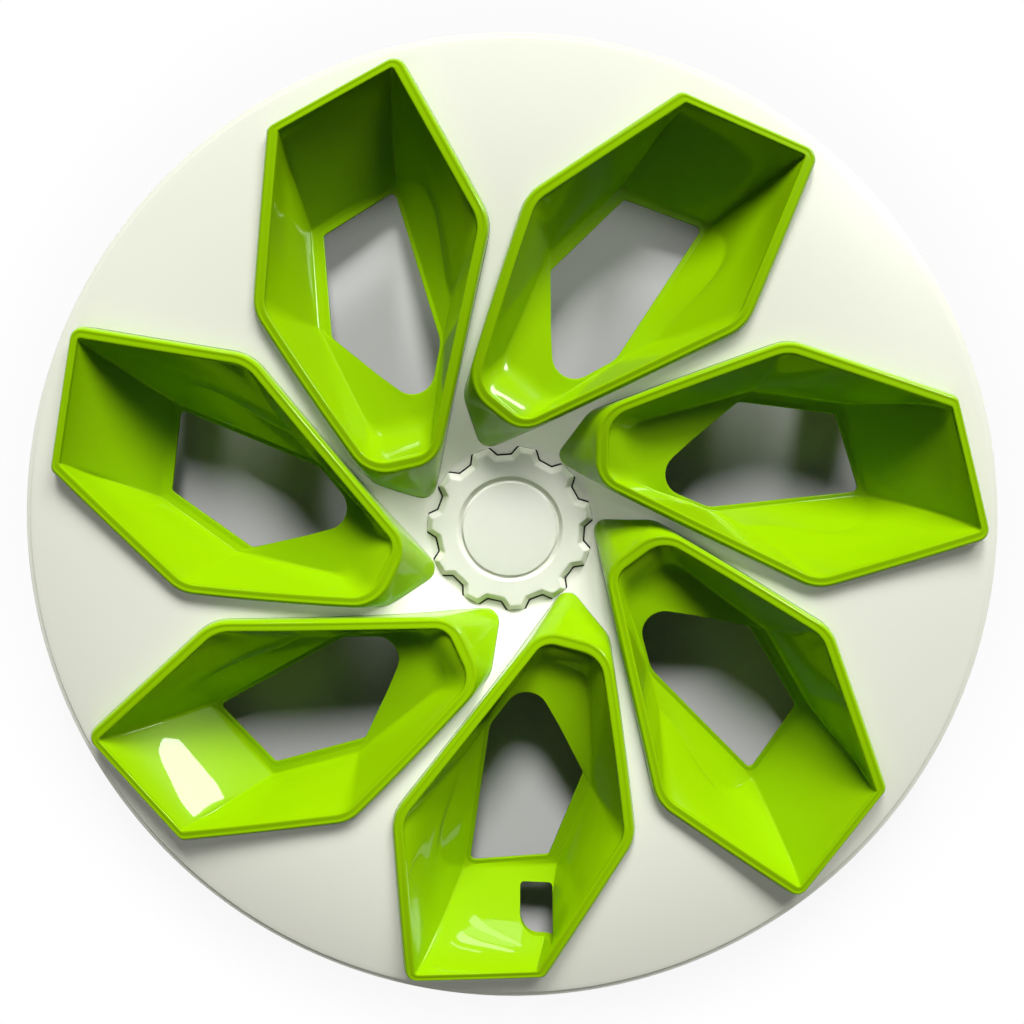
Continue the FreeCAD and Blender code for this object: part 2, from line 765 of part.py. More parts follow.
pocket_angles = [VALVE_POCKET_ANGLE + i * PITCH for i in range(POCKETS)]
backs = [turned(f"back_{i + 1}", back_trimmed, angle) for i, angle in enumerate(pocket_angles)]
openings = [turned(f"opening_{i + 1}", opening, angle) for i, angle in enumerate(pocket_angles)]
pilot_sets = [turned(f"pilots_{i + 1}", pilots, angle) for i, angle in enumerate(pocket_angles)]
disc_solid = fused("disc_solid", [disc_shell] + backs)
face_disc = boolean("Part::Cut", "face_disc", disc_solid, fused("disc_cuts", openings + pilot_sets))

# Centre cap and emblem disc

cap_floor = -size("hub_depth")


def gear_corners():
    """Corners of the toothed outline at its foot: two at the root and two at the tip of each tooth."""
    corners = []
    reaches = [("root", -1), ("tip", -1), ("tip", 1), ("root", 1)]
    for i in range(CAP_TEETH):
        middle = math.radians(size("cap_turn") + i * 360.0 / CAP_TEETH)
        for place, side in reaches:
            radius = size(f"cap_{place}_radius")
            angle = middle + side * math.asin(size(f"cap_tooth_{place}_width") / 2 / radius)
            corners.append(Vector(radius * math.cos(angle), radius * math.sin(angle), cap_floor))
    return corners


gear_foot = gear_corners()
gear_lean = size("cap_height") * math.tan(math.radians(size("cap_draft")))
gear_face = at_level(inset(gear_foot, [gear_lean] * len(gear_foot)), cap_floor + size("cap_height"))
gear = ruled_solid("gear", [Part.makePolygon(ring + ring[:1]) for ring in (gear_foot, gear_face)])
collar_outer = hub_hole_radius - size("cap_fit")
collar_inner = collar_outer - size("cap_collar_wall")
collar_end = cap_floor - size("cap_collar_length")
snap_top = cap_floor - size("disc_wall") - size("cap_fit")
snap_point = Vector(collar_outer + size("cap_snap") + size("cap_fit"), 0, (snap_top + collar_end) / 2)
collar = revolved("collar", chain([
    Vector(collar_inner, 0, collar_end),
    Vector(collar_outer, 0, collar_end),
    snap_point,
    Vector(collar_outer, 0, snap_top),
    Vector(collar_outer, 0, cap_floor + size("cap_fit")),
    Vector(collar_inner, 0, cap_floor + size("cap_fit")),
    Vector(collar_inner, 0, collar_end),
]))
recess = doc.addObject("Part::Cylinder", "recess")
bind(recess, Radius="sizes.cap_recess_diameter / 2", Height="sizes.cap_recess_depth * 2",
     Placement__Base__z="sizes.cap_height - sizes.hub_depth - sizes.cap_recess_depth")
centre_cap = boolean("Part::Cut", "centre_cap", fused("cap_solid", [gear, collar]), recess)

emblem_floor = cap_floor + size("cap_height") - size("cap_recess_depth")
emblem_radius = size("cap_recess_diameter") / 2 - size("cap_fit")
emblem_face = size("emblem_face_diameter") / 2
emblem_disc = revolve_body("emblem_disc", chain([
    Vector(0, 0, emblem_floor),
    Vector(emblem_radius, 0, emblem_floor),
    Vector(emblem_radius, 0, emblem_floor + size("emblem_edge_height")),
    Vector(emblem_face, 0, emblem_floor + size("emblem_height")),
    Vector(0, 0, emblem_floor + size("emblem_height")),
    Vector(0, 0, emblem_floor),
]), [("x", (3, 1), "sizes.emblem_face_diameter / 2")])

# Tension ring with a bend round the valve

def ring_path():
    """The wire's middle line: a circle with a notch that runs inward on both sides of the valve."""
    ring = size("ring_radius")
    bend = size("ring_bend")
    half = size("ring_notch_width") / 2
    rise = math.sqrt((ring - bend) ** 2 - (half + bend) ** 2)
    spread = math.atan2(half + bend, rise)
    bottom = ring - size("ring_notch_depth")
    level = -size("ring_depth")

    def at(along, across):
        return Vector(along, across, level)

    def on_ring(angle):
        return at(ring * math.cos(angle), ring * math.sin(angle))

    def into_leg(side):
        centre = at(rise, side * (half + bend))
        lean = (spread - math.pi / 2) / 2
        middle = centre + Vector(math.cos(lean), side * math.sin(lean), 0) * bend
        return Part.Arc(on_ring(side * spread), middle, at(rise, side * half))

    edges = [
        Part.Arc(on_ring(spread), on_ring(math.pi), on_ring(-spread)),
        into_leg(-1),
        Part.LineSegment(at(rise, -half), at(bottom + half, -half)),
        Part.Arc(at(bottom + half, -half), at(bottom, 0), at(bottom + half, half)),
        Part.LineSegment(at(bottom + half, half), at(rise, half)),
        into_leg(1),
    ]
    return Part.Wire(Part.__sortEdges__([edge.toShape() for edge in edges]))


ring_line = add_shape("ring_line", ring_path())
wire_start = Vector(-size("ring_radius"), 0, -size("ring_depth"))
wire_circle = Part.makeCircle(size("wire_diameter") / 2, wire_start, Vector(0, 1, 0))
wire_section = add_shape("wire_section", Part.Wire([wire_circle]))
ring_sweep = doc.addObject("Part::Sweep", "ring_sweep")
ring_sweep.Sections = [wire_section]
ring_sweep.Spine = (ring_line, [f"Edge{i + 1}" for i in range(len(ring_line.Shape.Edges))])
ring_sweep.Solid = True
ring_sweep.Frenet = False
valve_angle = math.degrees(math.atan2(size("valve_across"), size("valve_along")))

# Screws from behind through the insert tabs

shank = size("screw_diameter") / 2
screw_end = size("screw_length")
screw = revolve_body("screw", chain([
    Vector(0, 0, -size("screw_head_height")),
    Vector(size("screw_head_diameter") / 4, 0, -size("screw_head_height")),
    Vector(size("screw_head_diameter") / 2, 0, -size("screw_head_height") / 2),
    Vector(size("screw_head_diameter") / 2, 0, 0),
    Vector(shank, 0, 0),
    Vector(shank, 0, screw_end - shank),
    Vector(0, 0, screw_end),
    Vector(0, 0, -size("screw_head_height")),
]), [("x", (3, 1), "sizes.screw_head_diameter / 2"), ("x", (4, 2), "sizes.screw_diameter / 2")])
doc.recompute()

screw_level = size("boss_end_level") - size("tab_thickness")
screw_copies = []
for angle in pocket_angles:
    turn = Rotation(Vector(0, 0, 1), angle)
    for place, outward in boss_places:
        copy = screw.Shape.copy()
        copy.Placement = Placement(turn.multVec(place + Vector(0, 0, screw_level)), turn)
        screw_copies.append(copy)
insert_screws = add_shape("insert_screws", Part.makeCompound(screw_copies))

# Sub-parts

nodes = {
    "face_disc": face_disc,
    "centre_cap": centre_cap,
    "emblem_disc": emblem_disc,
    "tension_ring": turned("tension_ring", ring_sweep, VALVE_POCKET_ANGLE + valve_angle),
    "insert_screws": insert_screws,
}
for i, angle in enumerate(pocket_angles):
    source = valve_insert if i == 0 else insert
    nodes[f"pocket_insert_{i + 1}"] = turned(f"pocket_insert_{i + 1}", source, angle)
for name, node in nodes.items():
    node.Label = name
doc.recompute()

for item in doc.Objects:
    if "Invalid" in item.State or "Error" in item.State:
        raise RuntimeError(f"{item.Name} failed to build")
for name, node in nodes.items():
    if node.Shape.isNull() or not node.Shape.isValid():
        raise RuntimeError(f"{name} has no valid shape")

os.makedirs("parts", exist_ok=True)
for name, node in nodes.items():
    node.Shape.exportStep(f"parts/{name}.step")
    print(name, len(node.Shape.Solids), "solids,", round(node.Shape.Volume / 1000, 1), "cm3")
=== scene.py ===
# %% [markdown]
# # A wheel cover with seven green pockets
# A wheel cover is a light plastic shell that snaps into a steel wheel. This one has a white dished
# disc, seven glossy green pockets that stand proud of it, and a gear-shaped cap over the hub.
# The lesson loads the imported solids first. They give the place and size of every piece, and each
# new piece below is a smoother skin that stands for one of them.

# %% Load the frame
import math

import bmesh
import bpy
import numpy as np
from mathutils import Matrix, Vector


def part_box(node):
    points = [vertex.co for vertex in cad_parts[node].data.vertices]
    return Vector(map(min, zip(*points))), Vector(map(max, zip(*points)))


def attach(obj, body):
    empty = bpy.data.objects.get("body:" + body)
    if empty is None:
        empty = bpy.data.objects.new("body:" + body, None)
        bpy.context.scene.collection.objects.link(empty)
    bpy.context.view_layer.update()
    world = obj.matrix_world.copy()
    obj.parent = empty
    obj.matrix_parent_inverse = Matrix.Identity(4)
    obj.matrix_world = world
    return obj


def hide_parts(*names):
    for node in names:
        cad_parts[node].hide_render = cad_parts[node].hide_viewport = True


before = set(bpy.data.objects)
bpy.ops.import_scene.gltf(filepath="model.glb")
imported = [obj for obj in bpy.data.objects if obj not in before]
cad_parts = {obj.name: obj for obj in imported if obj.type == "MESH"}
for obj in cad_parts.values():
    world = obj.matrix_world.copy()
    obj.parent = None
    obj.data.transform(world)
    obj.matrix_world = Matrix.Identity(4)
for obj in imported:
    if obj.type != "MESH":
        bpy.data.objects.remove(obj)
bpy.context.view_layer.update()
print("solids:", sorted(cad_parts))

# %% [markdown]
# ## Sizes
# A maker draws in millimetres, and Blender counts in metres, so sizes are written in millimetres
# and scaled once, where a mesh is made. One pocket is drawn along +X: "along" runs outward from
# the wheel's axis and "across" sideways. The other pockets are turned copies.

# %% Sizes that several pieces share
MM = 0.001
POCKETS = 7
PITCH = 360.0 / POCKETS
VALVE_POCKET_ANGLE = -90.0
POCKET_ANGLES = [VALVE_POCKET_ANGLE + i * PITCH for i in range(POCKETS)]
COVER_RADIUS = 235.0
FOOT_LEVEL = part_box("face_disc")[0].z / MM
print("pockets at", np.round(POCKET_ANGLES, 1), "degrees, feet at", round(FOOT_LEVEL, 2), "mm")

# %% [markdown]
# ## Shader maths as expressions
# A finish mixes noise, masks and colours. Written as node calls, that is hard to read, so one small
# class wraps a socket and lets +, * and ** add the Math nodes. A second class holds a material and
# has a single method that makes any other node.

# %% Sockets and finishes
class Socket:
    """An output socket with arithmetic: each operator adds one Math node."""

    def __init__(self, finish, output):
        self.finish = finish
        self.output = output

    def math(self, operation, first, second):
        return self.finish.node("ShaderNodeMath", {"operation": operation}, {0: first, 1: second})

    def __add__(self, other):
        return self.math("ADD", self, other)

    __radd__ = __add__

    def __mul__(self, other):
        return self.math("MULTIPLY", self, other)

    __rmul__ = __mul__

    def __pow__(self, other):
        return self.math("POWER", self, other)

    def __rpow__(self, other):
        return self.math("POWER", other, self)


class Finish:
    """A material whose nodes are added one by one around a Principled shader."""

    def __init__(self, name, **uniform):
        self.material = bpy.data.materials.new(name)
        self.material.use_nodes = True
        self.tree = self.material.node_tree
        self.shader = self.tree.nodes["Principled BSDF"]
        self.result = self.tree.nodes["Material Output"]
        for socket, value in uniform.items():
            self.shader.inputs[socket.replace("_", " ")].default_value = value

    def node(self, kind, settings, values, out=0):
        """Adds a node: its settings first, then a value or a link for each named socket."""
        made = self.tree.nodes.new(kind)
        for name, value in settings.items():
            setattr(made, name, value)
        for name, value in values.items():
            self.plug(value, self.find(made.inputs, name))
        return Socket(self, self.find(made.outputs, out))

    def find(self, sockets, name):
        """A socket by its number, or the one in use that has a name."""
        if isinstance(name, int):
            return sockets[name]
        return next(socket for socket in sockets if socket.name == name and socket.enabled)

    def plug(self, value, socket):
        if isinstance(value, Socket):
            self.tree.links.new(value.output, socket)
        else:
            socket.default_value = value

    def place(self):
        """Object coordinates, in metres."""
        return self.node("ShaderNodeTexCoord", {}, {}, out="Object")

    def noise(self, scale, detail=2.0):
        """Soft noise between 0 and 1, with features about one over the scale in metres."""
        values = {"Vector": self.place(), "Scale": scale, "Detail": detail}
        return self.node("ShaderNodeTexNoise", {}, values)

    def mix(self, factor, first, second):
        """A colour between two colours."""
        values = {"Factor": factor, "A": first, "B": second}
        return self.node("ShaderNodeMix", {"data_type": "RGBA"}, values, out="Result")

    def feed(self, socket, value):
        self.plug(value, self.shader.inputs[socket])

    def bump(self, height, strength, distance):
        """Fine relief: the height moves the surface by up to the distance, in metres."""
        values = {"Height": height, "Strength": strength, "Distance": distance}
        self.feed("Normal", self.node("ShaderNodeBump", {}, values))


# %% [markdown]
# ## Finishes
# The pockets are lacquered: a deep lime green under a clear coat that mirrors the window, with the
# faint ripple that sprayed lacquer has. The disc and the cap have a satin off-white paint with a
# fine grain. A black ring round the cap's foot is painted shade: it stands in for the dark shadow gap
# there. The wire ring is drawn spring wire and the screws are zinc plated. Each finish could be one
# flat colour, but real paint is never even, so noise moves its tone, its gloss and its surface a little.

# %% Green lacquer
DEEP_GREEN = (0.290, 0.560, 0.0004, 1)
LIGHT_GREEN = (0.318, 0.600, 0.0006, 1)


def green_lacquer():
    """Lime green that wanders a little in tone, under a clear coat with a faint ripple."""
    coat = {"Coat_Weight": 1.0, "Coat_Roughness": 0.025, "Coat_IOR": 1.4}
    finish = Finish("green_lacquer", Specular_IOR_Level=0.15, **coat)
    cloud = finish.noise(14.0)
    finish.feed("Base Color", finish.mix(cloud, DEEP_GREEN, LIGHT_GREEN))
    finish.feed("Roughness", finish.noise(320.0) * 0.08 + 0.26)
    finish.bump(finish.noise(230.0, detail=1.0), 0.05, 0.0003)
    return finish.material


GREEN = green_lacquer()
print("finish:", GREEN.name)

# %% Satin paint and rubber
def satin(name, light, deep, roughness):
    """A satin surface: slow change of tone, fine grain in the gloss and in the surface."""
    finish = Finish(name, IOR=1.45)
    tone = finish.noise(9.0) * 0.7 + finish.noise(700.0) * 0.3
    finish.feed("Base Color", finish.mix(tone, deep, light))
    finish.feed("Roughness", finish.noise(1400.0) * 0.10 + roughness)
    finish.bump(finish.noise(2600.0), 0.10, 0.00008)
    return finish.material


WHITE = satin("satin_white", (0.800, 0.808, 0.700, 1), (0.765, 0.775, 0.665, 1), 0.34)
CAP_WHITE = satin("cap_white", (0.810, 0.818, 0.715, 1), (0.780, 0.790, 0.685, 1), 0.30)
EMBLEM_WHITE = satin("emblem_white", (0.800, 0.810, 0.712, 1), (0.775, 0.785, 0.690, 1), 0.34)
# Near-black satin: painted shade for the dark shadow gap round the cap's teeth.
SHADOW_GAP_BLACK = satin("painted_shadow_gap", (0.020, 0.020, 0.018, 1), (0.012, 0.012, 0.011, 1), 0.6)
print("finishes:", [item.name for item in (WHITE, CAP_WHITE, EMBLEM_WHITE, SHADOW_GAP_BLACK)])

# %% Wire and zinc
def metal(name, light, deep, roughness, streak):
    """Bare metal: tone and gloss follow a fine streaky noise."""
    finish = Finish(name, Metallic=1.0)
    grain = finish.noise(streak, detail=4.0)
    finish.feed("Base Color", finish.mix(grain, deep, light))
    finish.feed("Roughness", grain * 0.18 + roughness)
    finish.bump(grain, 0.12, 0.00005)
    return finish.material


WIRE = metal("spring_wire", (0.62, 0.60, 0.55, 1), (0.44, 0.42, 0.38, 1), 0.22, 900.0)
ZINC = metal("zinc_plate", (0.68, 0.69, 0.72, 1), (0.52, 0.52, 0.50, 1), 0.24, 600.0)
print("finishes:", WIRE.name, ZINC.name)

# %% [markdown]
# ## From arrays to pieces
# Every shape below is an array of points on a grid. Two helpers turn such arrays into a mesh: one
# numbers the four corners of each grid cell, and one makes the object, welds the seams and turns
# all faces outward.

# %% Mesh helpers
def grid_faces(rows, columns, wrap_rows=False, wrap_columns=True):
    """Corner numbers of the cells of a grid, row by row, closed where it wraps."""
    i = np.arange(rows if wrap_rows else rows - 1)[:, None]
    j = np.arange(columns if wrap_columns else columns - 1)[None, :]
    below = (i + 1) % rows
    beside = (j + 1) % columns
    corners = (i * columns + j, i * columns + beside, below * columns + beside, below * columns + j)
    return np.stack(np.broadcast_arrays(*corners), axis=-1).reshape(-1, 4).tolist()


def make_piece(name, shells, material, weld=0.0):
    """An object from one or more shells, each a pair of points in millimetres and faces."""
    mesh = bpy.data.meshes.new(name)
    points = []
    faces = []
    count = 0
    for shell_points, shell_faces in shells:
        points.append(np.asarray(shell_points, float).reshape(-1, 3))
        faces += [[corner + count for corner in face] for face in shell_faces]
        count += len(points[-1])
    mesh.from_pydata((np.concatenate(points) * MM).tolist(), [], faces)
    work = bmesh.new()
    work.from_mesh(mesh)
    if weld:
        bmesh.ops.remove_doubles(work, verts=work.verts, dist=weld * MM)
    bmesh.ops.recalc_face_normals(work, faces=work.faces)
    work.to_mesh(mesh)
    work.free()
    mesh.polygons.foreach_set("use_smooth", np.ones(len(mesh.polygons), bool))
    mesh.materials.append(material)
    piece = bpy.data.objects.new(name, mesh)
    bpy.context.scene.collection.objects.link(piece)
    print(name, len(mesh.vertices), "points,", len(mesh.polygons), "faces")
    return piece


def stand_for(piece, slot, *nodes):
    """The piece rides on the cover and stands for its solids."""
    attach(piece, "root")
    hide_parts(*nodes)


def turn(points, degrees):
    """Points turned about the wheel's axis."""
    angle = math.radians(degrees)
    c, s = math.cos(angle), math.sin(angle)
    return points @ np.array([[c, s, 0], [-s, c, 0], [0, 0, 1]])


print("three rows of four points, closed to a tube, have", len(grid_faces(3, 4)), "faces")

# %% [markdown]
# ## Crowned surfaces
# Two smooth surfaces rule the cover. The pocket rims all touch one very flat dome, and the disc
# has a dome, a rounded shoulder, a cone down to the hub and a flat hub floor. Each height is a
# function of the radius alone, so any outline can be dropped onto it.

# %% Heights
RIM_DOME = (160.0, 17.0, 610.0)
DISC_DOME = (158.0, 12.0, 340.0)
DISC_WALL = 2.5
DISH_START = 75.0
SHOULDER_CURVE = 60.0
DISH_ANGLE = math.radians(39.0)
HUB_LEVEL = -18.5
HUB_BLEND = 3.0


def dome(radius, shape, depth=0.0):
    """Height of a circular dome with its top at a radius, or of one that lies a depth inside it."""
    middle, height, curve = shape
    return height - curve + np.sqrt((curve - depth) ** 2 - (radius - middle) ** 2)


def disc_height(radius, depth=0.0):
    """Height of the disc: dome, shoulder arc, cone, blend arc and hub floor, from the rim inward."""
    lean = math.asin((DISC_DOME[0] - DISH_START) / DISC_DOME[2])
    middle_x = DISH_START + SHOULDER_CURVE * math.sin(lean)
    middle_z = dome(DISH_START, DISC_DOME) - SHOULDER_CURVE * math.cos(lean)
    curve = SHOULDER_CURVE - depth
    shoulder_end = middle_x - curve * math.sin(lean)
    cone_top_x = middle_x - curve * math.sin(DISH_ANGLE)
    cone_top_z = middle_z + curve * math.cos(DISH_ANGLE)
    floor = HUB_LEVEL - depth
    blend = HUB_BLEND + depth
    meet = cone_top_x - (cone_top_z - floor) / math.tan(DISH_ANGLE)
    blend_x = meet - blend * math.tan(DISH_ANGLE / 2)
    blend_end = blend_x + blend * math.sin(DISH_ANGLE)
    radius = np.asarray(radius, float)
    shoulder = middle_z + np.sqrt(np.maximum(curve ** 2 - (radius - middle_x) ** 2, 0.0))
    cone = cone_top_z + (radius - cone_top_x) * math.tan(DISH_ANGLE)
    blended = floor + blend - np.sqrt(np.maximum(blend ** 2 - (radius - blend_x) ** 2, 0.0))
    zones = [radius < blend_x, radius < blend_end, radius < cone_top_x, radius < shoulder_end]
    return np.select(zones, [floor, blended, cone, shoulder], dome(radius, DISC_DOME, depth))


def rim_height(points):
    """Height of the rims' dome over points in plan."""
    return dome(np.hypot(points[..., 0], points[..., 1]), RIM_DOME)


print("disc height at r = 45, 75, 158, 230 mm:", np.round(disc_height([45, 75, 158, 230]), 2))

# %% [markdown]
# ## Outlines with rounded corners
# A pocket is a stack of six-cornered outlines: rim, mouth, floor line, hole. Every outline has the
# same number of points on each corner and side, so the outlines can be joined point by point into
# one skin. A side can bow outward and upward, as a smooth hump.

# %% Ring helpers
CORNER_POINTS = 9
SIDE_POINTS = (30, 34, 14, 40, 34, 28)
SIDES = len(SIDE_POINTS)
OUTLINE_POINTS = sum(SIDE_POINTS) + SIDES * CORNER_POINTS
GLIDE = 15
MOST_OF_RUN = 0.96


def unit(vector):
    """Vectors scaled to length one."""
    return vector / np.linalg.norm(vector, axis=-1, keepdims=True)


def hump(share, height, early, late):
    """A bow that is zero at both ends: share**early * (1 - share)**late, scaled to its height."""
    top = early / (early + late)
    return height * share ** early * (1 - share) ** late / (top ** early * (1 - top) ** late)


def corner_arcs(corners, rounds, steps):
    """An arc for each corner of a closed outline. Its centre is on the bisector, radius / sin(half
    angle) from the corner, and its points turn evenly from one tangent point to the other."""
    corners = np.asarray(corners, float)
    rounds = np.asarray(rounds, float)[:, None]
    back = unit(np.roll(corners, 1, 0) - corners)
    forth = unit(np.roll(corners, -1, 0) - corners)
    half = np.arccos(np.sum(back * forth, -1, keepdims=True)) / 2
    centre = corners + unit(back + forth) * rounds / np.sin(half)
    start = (corners + back * rounds / np.tan(half) - centre)[:, None]
    end = (corners + forth * rounds / np.tan(half) - centre)[:, None]
    sweep = (math.pi - 2 * half)[:, None]
    share = np.linspace(0, 1, steps)[None, :, None]
    turned_points = (np.sin((1 - share) * sweep) * start + np.sin(share * sweep) * end) / np.sin(sweep)
    return centre[:, None] + turned_points


def ring(corners, rounds, bows):
    """A closed outline of arcs and sides. A bowed side leaves its chord outward and upward. A bow is
    its reach, its lift and the two powers of its hump."""
    arcs = corner_arcs(corners, rounds, CORNER_POINTS)
    pieces = []
    for i, arc in enumerate(arcs):
        share = np.linspace(0, 1, SIDE_POINTS[i] + 2)[1:-1, None]
        side = arc[-1] * (1 - share) + arcs[(i + 1) % SIDES][0] * share
        if i in bows:
            run = side[-1] - side[0]
            outward = unit(np.array([run[1], -run[0], 0.0]))
            reach, lift, early, late = bows[i]
            side = side + outward * hump(share, reach, early, late)
            side[:, 2:] += hump(share, lift, early, late)
        pieces += [arc, side]
    return np.concatenate(pieces)


def cross(first, second):
    """Cross product of plan vectors: x1 * y2 - y1 * x2."""
    return first[:, 0] * second[:, 1] - first[:, 1] * second[:, 0]


def inset(corners, widths):
    """Corners of an outline whose sides have moved inward, each by its own width. A new corner is
    where its two moved sides cross."""
    corners = np.asarray(corners, float)
    run = unit((np.roll(corners, -1, 0) - corners)[:, :2])
    inward = np.stack([-run[:, 1], run[:, 0]], -1)
    start = corners[:, :2] + inward * np.asarray(widths, float)[:, None]
    before, back = np.roll(start, 1, 0), np.roll(run, 1, 0)
    reach = cross(start - before, run) / cross(back, run)
    return np.column_stack([before + back * reach[:, None], corners[:, 2]])


def by_side(values):
    """A value for each point of an outline: constant along a side, gliding round the corners."""
    pieces = []
    for i in range(SIDES):
        pieces.append(np.linspace(values[i - 1], values[i], CORNER_POINTS))
        pieces.append(np.full(SIDE_POINTS[i], values[i]))
    joined = np.concatenate(pieces)
    padded = np.concatenate([joined[-GLIDE:], joined, joined[:GLIDE]])
    return np.convolve(padded, np.ones(GLIDE) / GLIDE, "same")[GLIDE:-GLIDE]


def rounded_stack(keys, blends, rows, arc_rows=8):
    """Joins closed rings into one skin. Near each ring the straight run from ring to ring is cut
    short by the blend length and replaced by a parabola that has the ring as its control point. Two
    neighbours share the run between them in proportion to their blends."""
    keys = np.asarray(keys)
    before = np.roll(keys, 1, 0) - keys
    after = np.roll(keys, -1, 0) - keys
    before_length = np.linalg.norm(before, axis=-1, keepdims=True)
    after_length = np.linalg.norm(after, axis=-1, keepdims=True)
    blends = np.asarray(blends)[..., None] + 1e-6
    before_most = MOST_OF_RUN * blends / (blends + np.roll(blends, 1, 0))
    after_most = MOST_OF_RUN * blends / (blends + np.roll(blends, -1, 0))
    start = keys + before * np.minimum(blends / before_length, before_most)
    end = keys + after * np.minimum(blends / after_length, after_most)
    skin = []
    for k in range(len(keys)):
        t = np.linspace(0, 1, arc_rows)[:, None, None]
        skin.append((1 - t) ** 2 * start[k] + 2 * t * (1 - t) * keys[k] + t ** 2 * end[k])
        t = np.linspace(0, 1, rows[k] + 2)[1:-1, None, None]
        skin.append((1 - t) * end[k] + t * start[(k + 1) % len(keys)])
    return np.concatenate(skin)


print("points on every outline:", OUTLINE_POINTS)

# %% [markdown]
# ## The pocket insert
# Each pocket is one moulding: an upright skirt through the disc, a rim bead with two small ridges,
# a scooped inside and a hole with a narrow lip. It could be cut from a block with booleans, but a
# lacquered surface shows every crease, so here the whole skin is one closed grid: rings carried
# from the skirt's foot over the rim, down the inside, through the hole and back up behind.

# %% Rim and skirt
def on_circle(margin, across):
    """A corner on a circle that lies a margin inside the cover's edge."""
    radius = COVER_RADIUS - margin
    return (math.sqrt(radius ** 2 - across ** 2), across, 0.0)


HEEL, TRAIL, NOSE_TRAIL, NOSE_LEAD, LEAD, TIP = range(SIDES)
RIM_CORNERS = np.array([
    on_circle(13.7, 18.2),
    (147.8, 62.2, 0.0),
    (52.8, 49.4, 0.0),
    (44.8, 15.9, 0.0),
    (137.0, -57.5, 0.0),
    on_circle(5.4, -51.8),
])
RIM_ROUNDS = np.array([4.5, 20.0, 20.0, 17.0, 22.0, 6.5])
MOUTH_ROUNDS = np.array([1.3, 15.0, 13.0, 9.0, 17.0, 1.3])
RIM_BOWS = {TRAIL: (0.4, 0.0, 1.0, 1.0)}
RIM_WIDTHS = np.array([6.2, 5.8, 7.4, 5.7, 6.1, 4.8])
NOSE_LEVEL = dome(np.hypot(*RIM_CORNERS[NOSE_LEAD][:2]), RIM_DOME)
FOOT_FLARE = 0.05
FOOT_ROUNDS = np.array([4.5, 20.0, 13.0, 6.5, 22.0, 6.5])
NOSE_TRAIL_DRAFT = math.radians(18.5)
NOSE_LEAD_DRAFT = math.radians(39.7)
DROP_ROUNDS = 40
DROP_STEP = 0.6
SKIRT_REACH = 6.0
SKIRT_FOOT = -27.0
WALL = 2.5

def foot_corners():
    """Corners of the skirt where it meets the disc. The two nose corners run on along their sides as
    they drop. Drop and place depend on each other, so both are found by repeated substitution."""
    corners = RIM_CORNERS.copy()
    noses = ((NOSE_LEAD, LEAD, NOSE_LEAD_DRAFT), (NOSE_TRAIL, TRAIL, NOSE_TRAIL_DRAFT))
    for corner, behind, draft in noses:
        run = unit(RIM_CORNERS[corner] - RIM_CORNERS[behind])
        drop = 0.0
        for _ in range(DROP_ROUNDS):
            corners[corner] = RIM_CORNERS[corner] + run * drop * math.tan(draft)
            level = disc_height(np.hypot(*corners[corner][:2]))
            drop = drop + DROP_STEP * (NOSE_LEVEL - level - drop)
    return corners


FOOT_CORNERS = foot_corners()


def foot(height, grow=0.0):
    """The skirt's outline on a surface that is given by its height over the radius."""
    corners = inset(FOOT_CORNERS, np.full(SIDES, -FOOT_FLARE - grow))
    points = ring(corners, FOOT_ROUNDS + grow, RIM_BOWS)
    points[:, 2] = np.maximum(height(np.hypot(points[:, 0], points[:, 1])), SKIRT_FOOT)
    return points


def skirt_end(radius):
    """Height of the skirt's foot, a reach behind the disc."""
    return disc_height(radius) - DISC_WALL - SKIRT_REACH


def rim(share, drop):
    """An outline on the rim's dome: a share of the rim's width in from its edge, and a drop below."""
    corners = inset(RIM_CORNERS, RIM_WIDTHS * share)
    points = ring(corners, RIM_ROUNDS * (1 - share) + MOUTH_ROUNDS * share, RIM_BOWS)
    points[:, 2] = rim_height(points) - drop
    return points


print("the nose meets the disc at", np.round(FOOT_CORNERS[NOSE_LEAD][:2], 1), "mm")

# %% Hole, floor line and scoop
FLOOR_CORNERS = np.array([
    (174.5, 24.4, -20.7),
    (129.9, 41.0, -10.3),
    (71.7, 39.1, -1.5),
    (65.4, 9.8, -1.5),
    (114.0, -23.7, -6.6),
    (178.0, -24.5, -23.5),
])
FLOOR_ROUNDS = np.array([1.6, 5.0, 9.0, 9.0, 5.0, 1.6])
FLOOR_BOWS = {LEAD: (11.0, 11.5, 1.6, 0.55)}

HOLE_PLAN = np.array([
    (169.5, 19.8), (122.5, 37.0), (96.5, 24.2), (70.4, 9.9), (97.8, -10.0), (174.0, -20.8),
])
HOLE_ROUNDS = np.array([2.2, 4.0, 60.0, 10.8, 15.0, 2.5])
LIP_WIDTHS = np.array([2.8, 0.3, 0.3, 1.4, 2.2, 2.4])
HOLE_HEEL_LEVEL = -20.4
HOLE_RISE_ALONG = math.tan(math.radians(11.4))
HOLE_RISE_ACROSS = math.tan(math.radians(3.4))


def hole(grow, drop):
    """The hole's outline on its sloping plane, grown side by side and lowered."""
    grow = np.broadcast_to(grow, SIDES)
    plan = np.column_stack([HOLE_PLAN, np.zeros(SIDES)])
    plan = inset(plan, -grow)
    rise_along = (HOLE_PLAN[HEEL, 0] - plan[:, 0]) * HOLE_RISE_ALONG
    rise_across = (plan[:, 1] - HOLE_PLAN[HEEL, 1]) * HOLE_RISE_ACROSS
    plan[:, 2] = HOLE_HEEL_LEVEL + (rise_along + rise_across) - drop
    return ring(plan, HOLE_ROUNDS + (grow + np.roll(grow, 1)) / 2, {})


def floor_line(grow, drop):
    """The line where walls and floor meet, grown and lowered for the outside of the cup."""
    corners = inset(FLOOR_CORNERS, np.full(SIDES, -grow))
    corners[:, 2] = FLOOR_CORNERS[:, 2] - drop
    return ring(corners, FLOOR_ROUNDS + grow, FLOOR_BOWS)


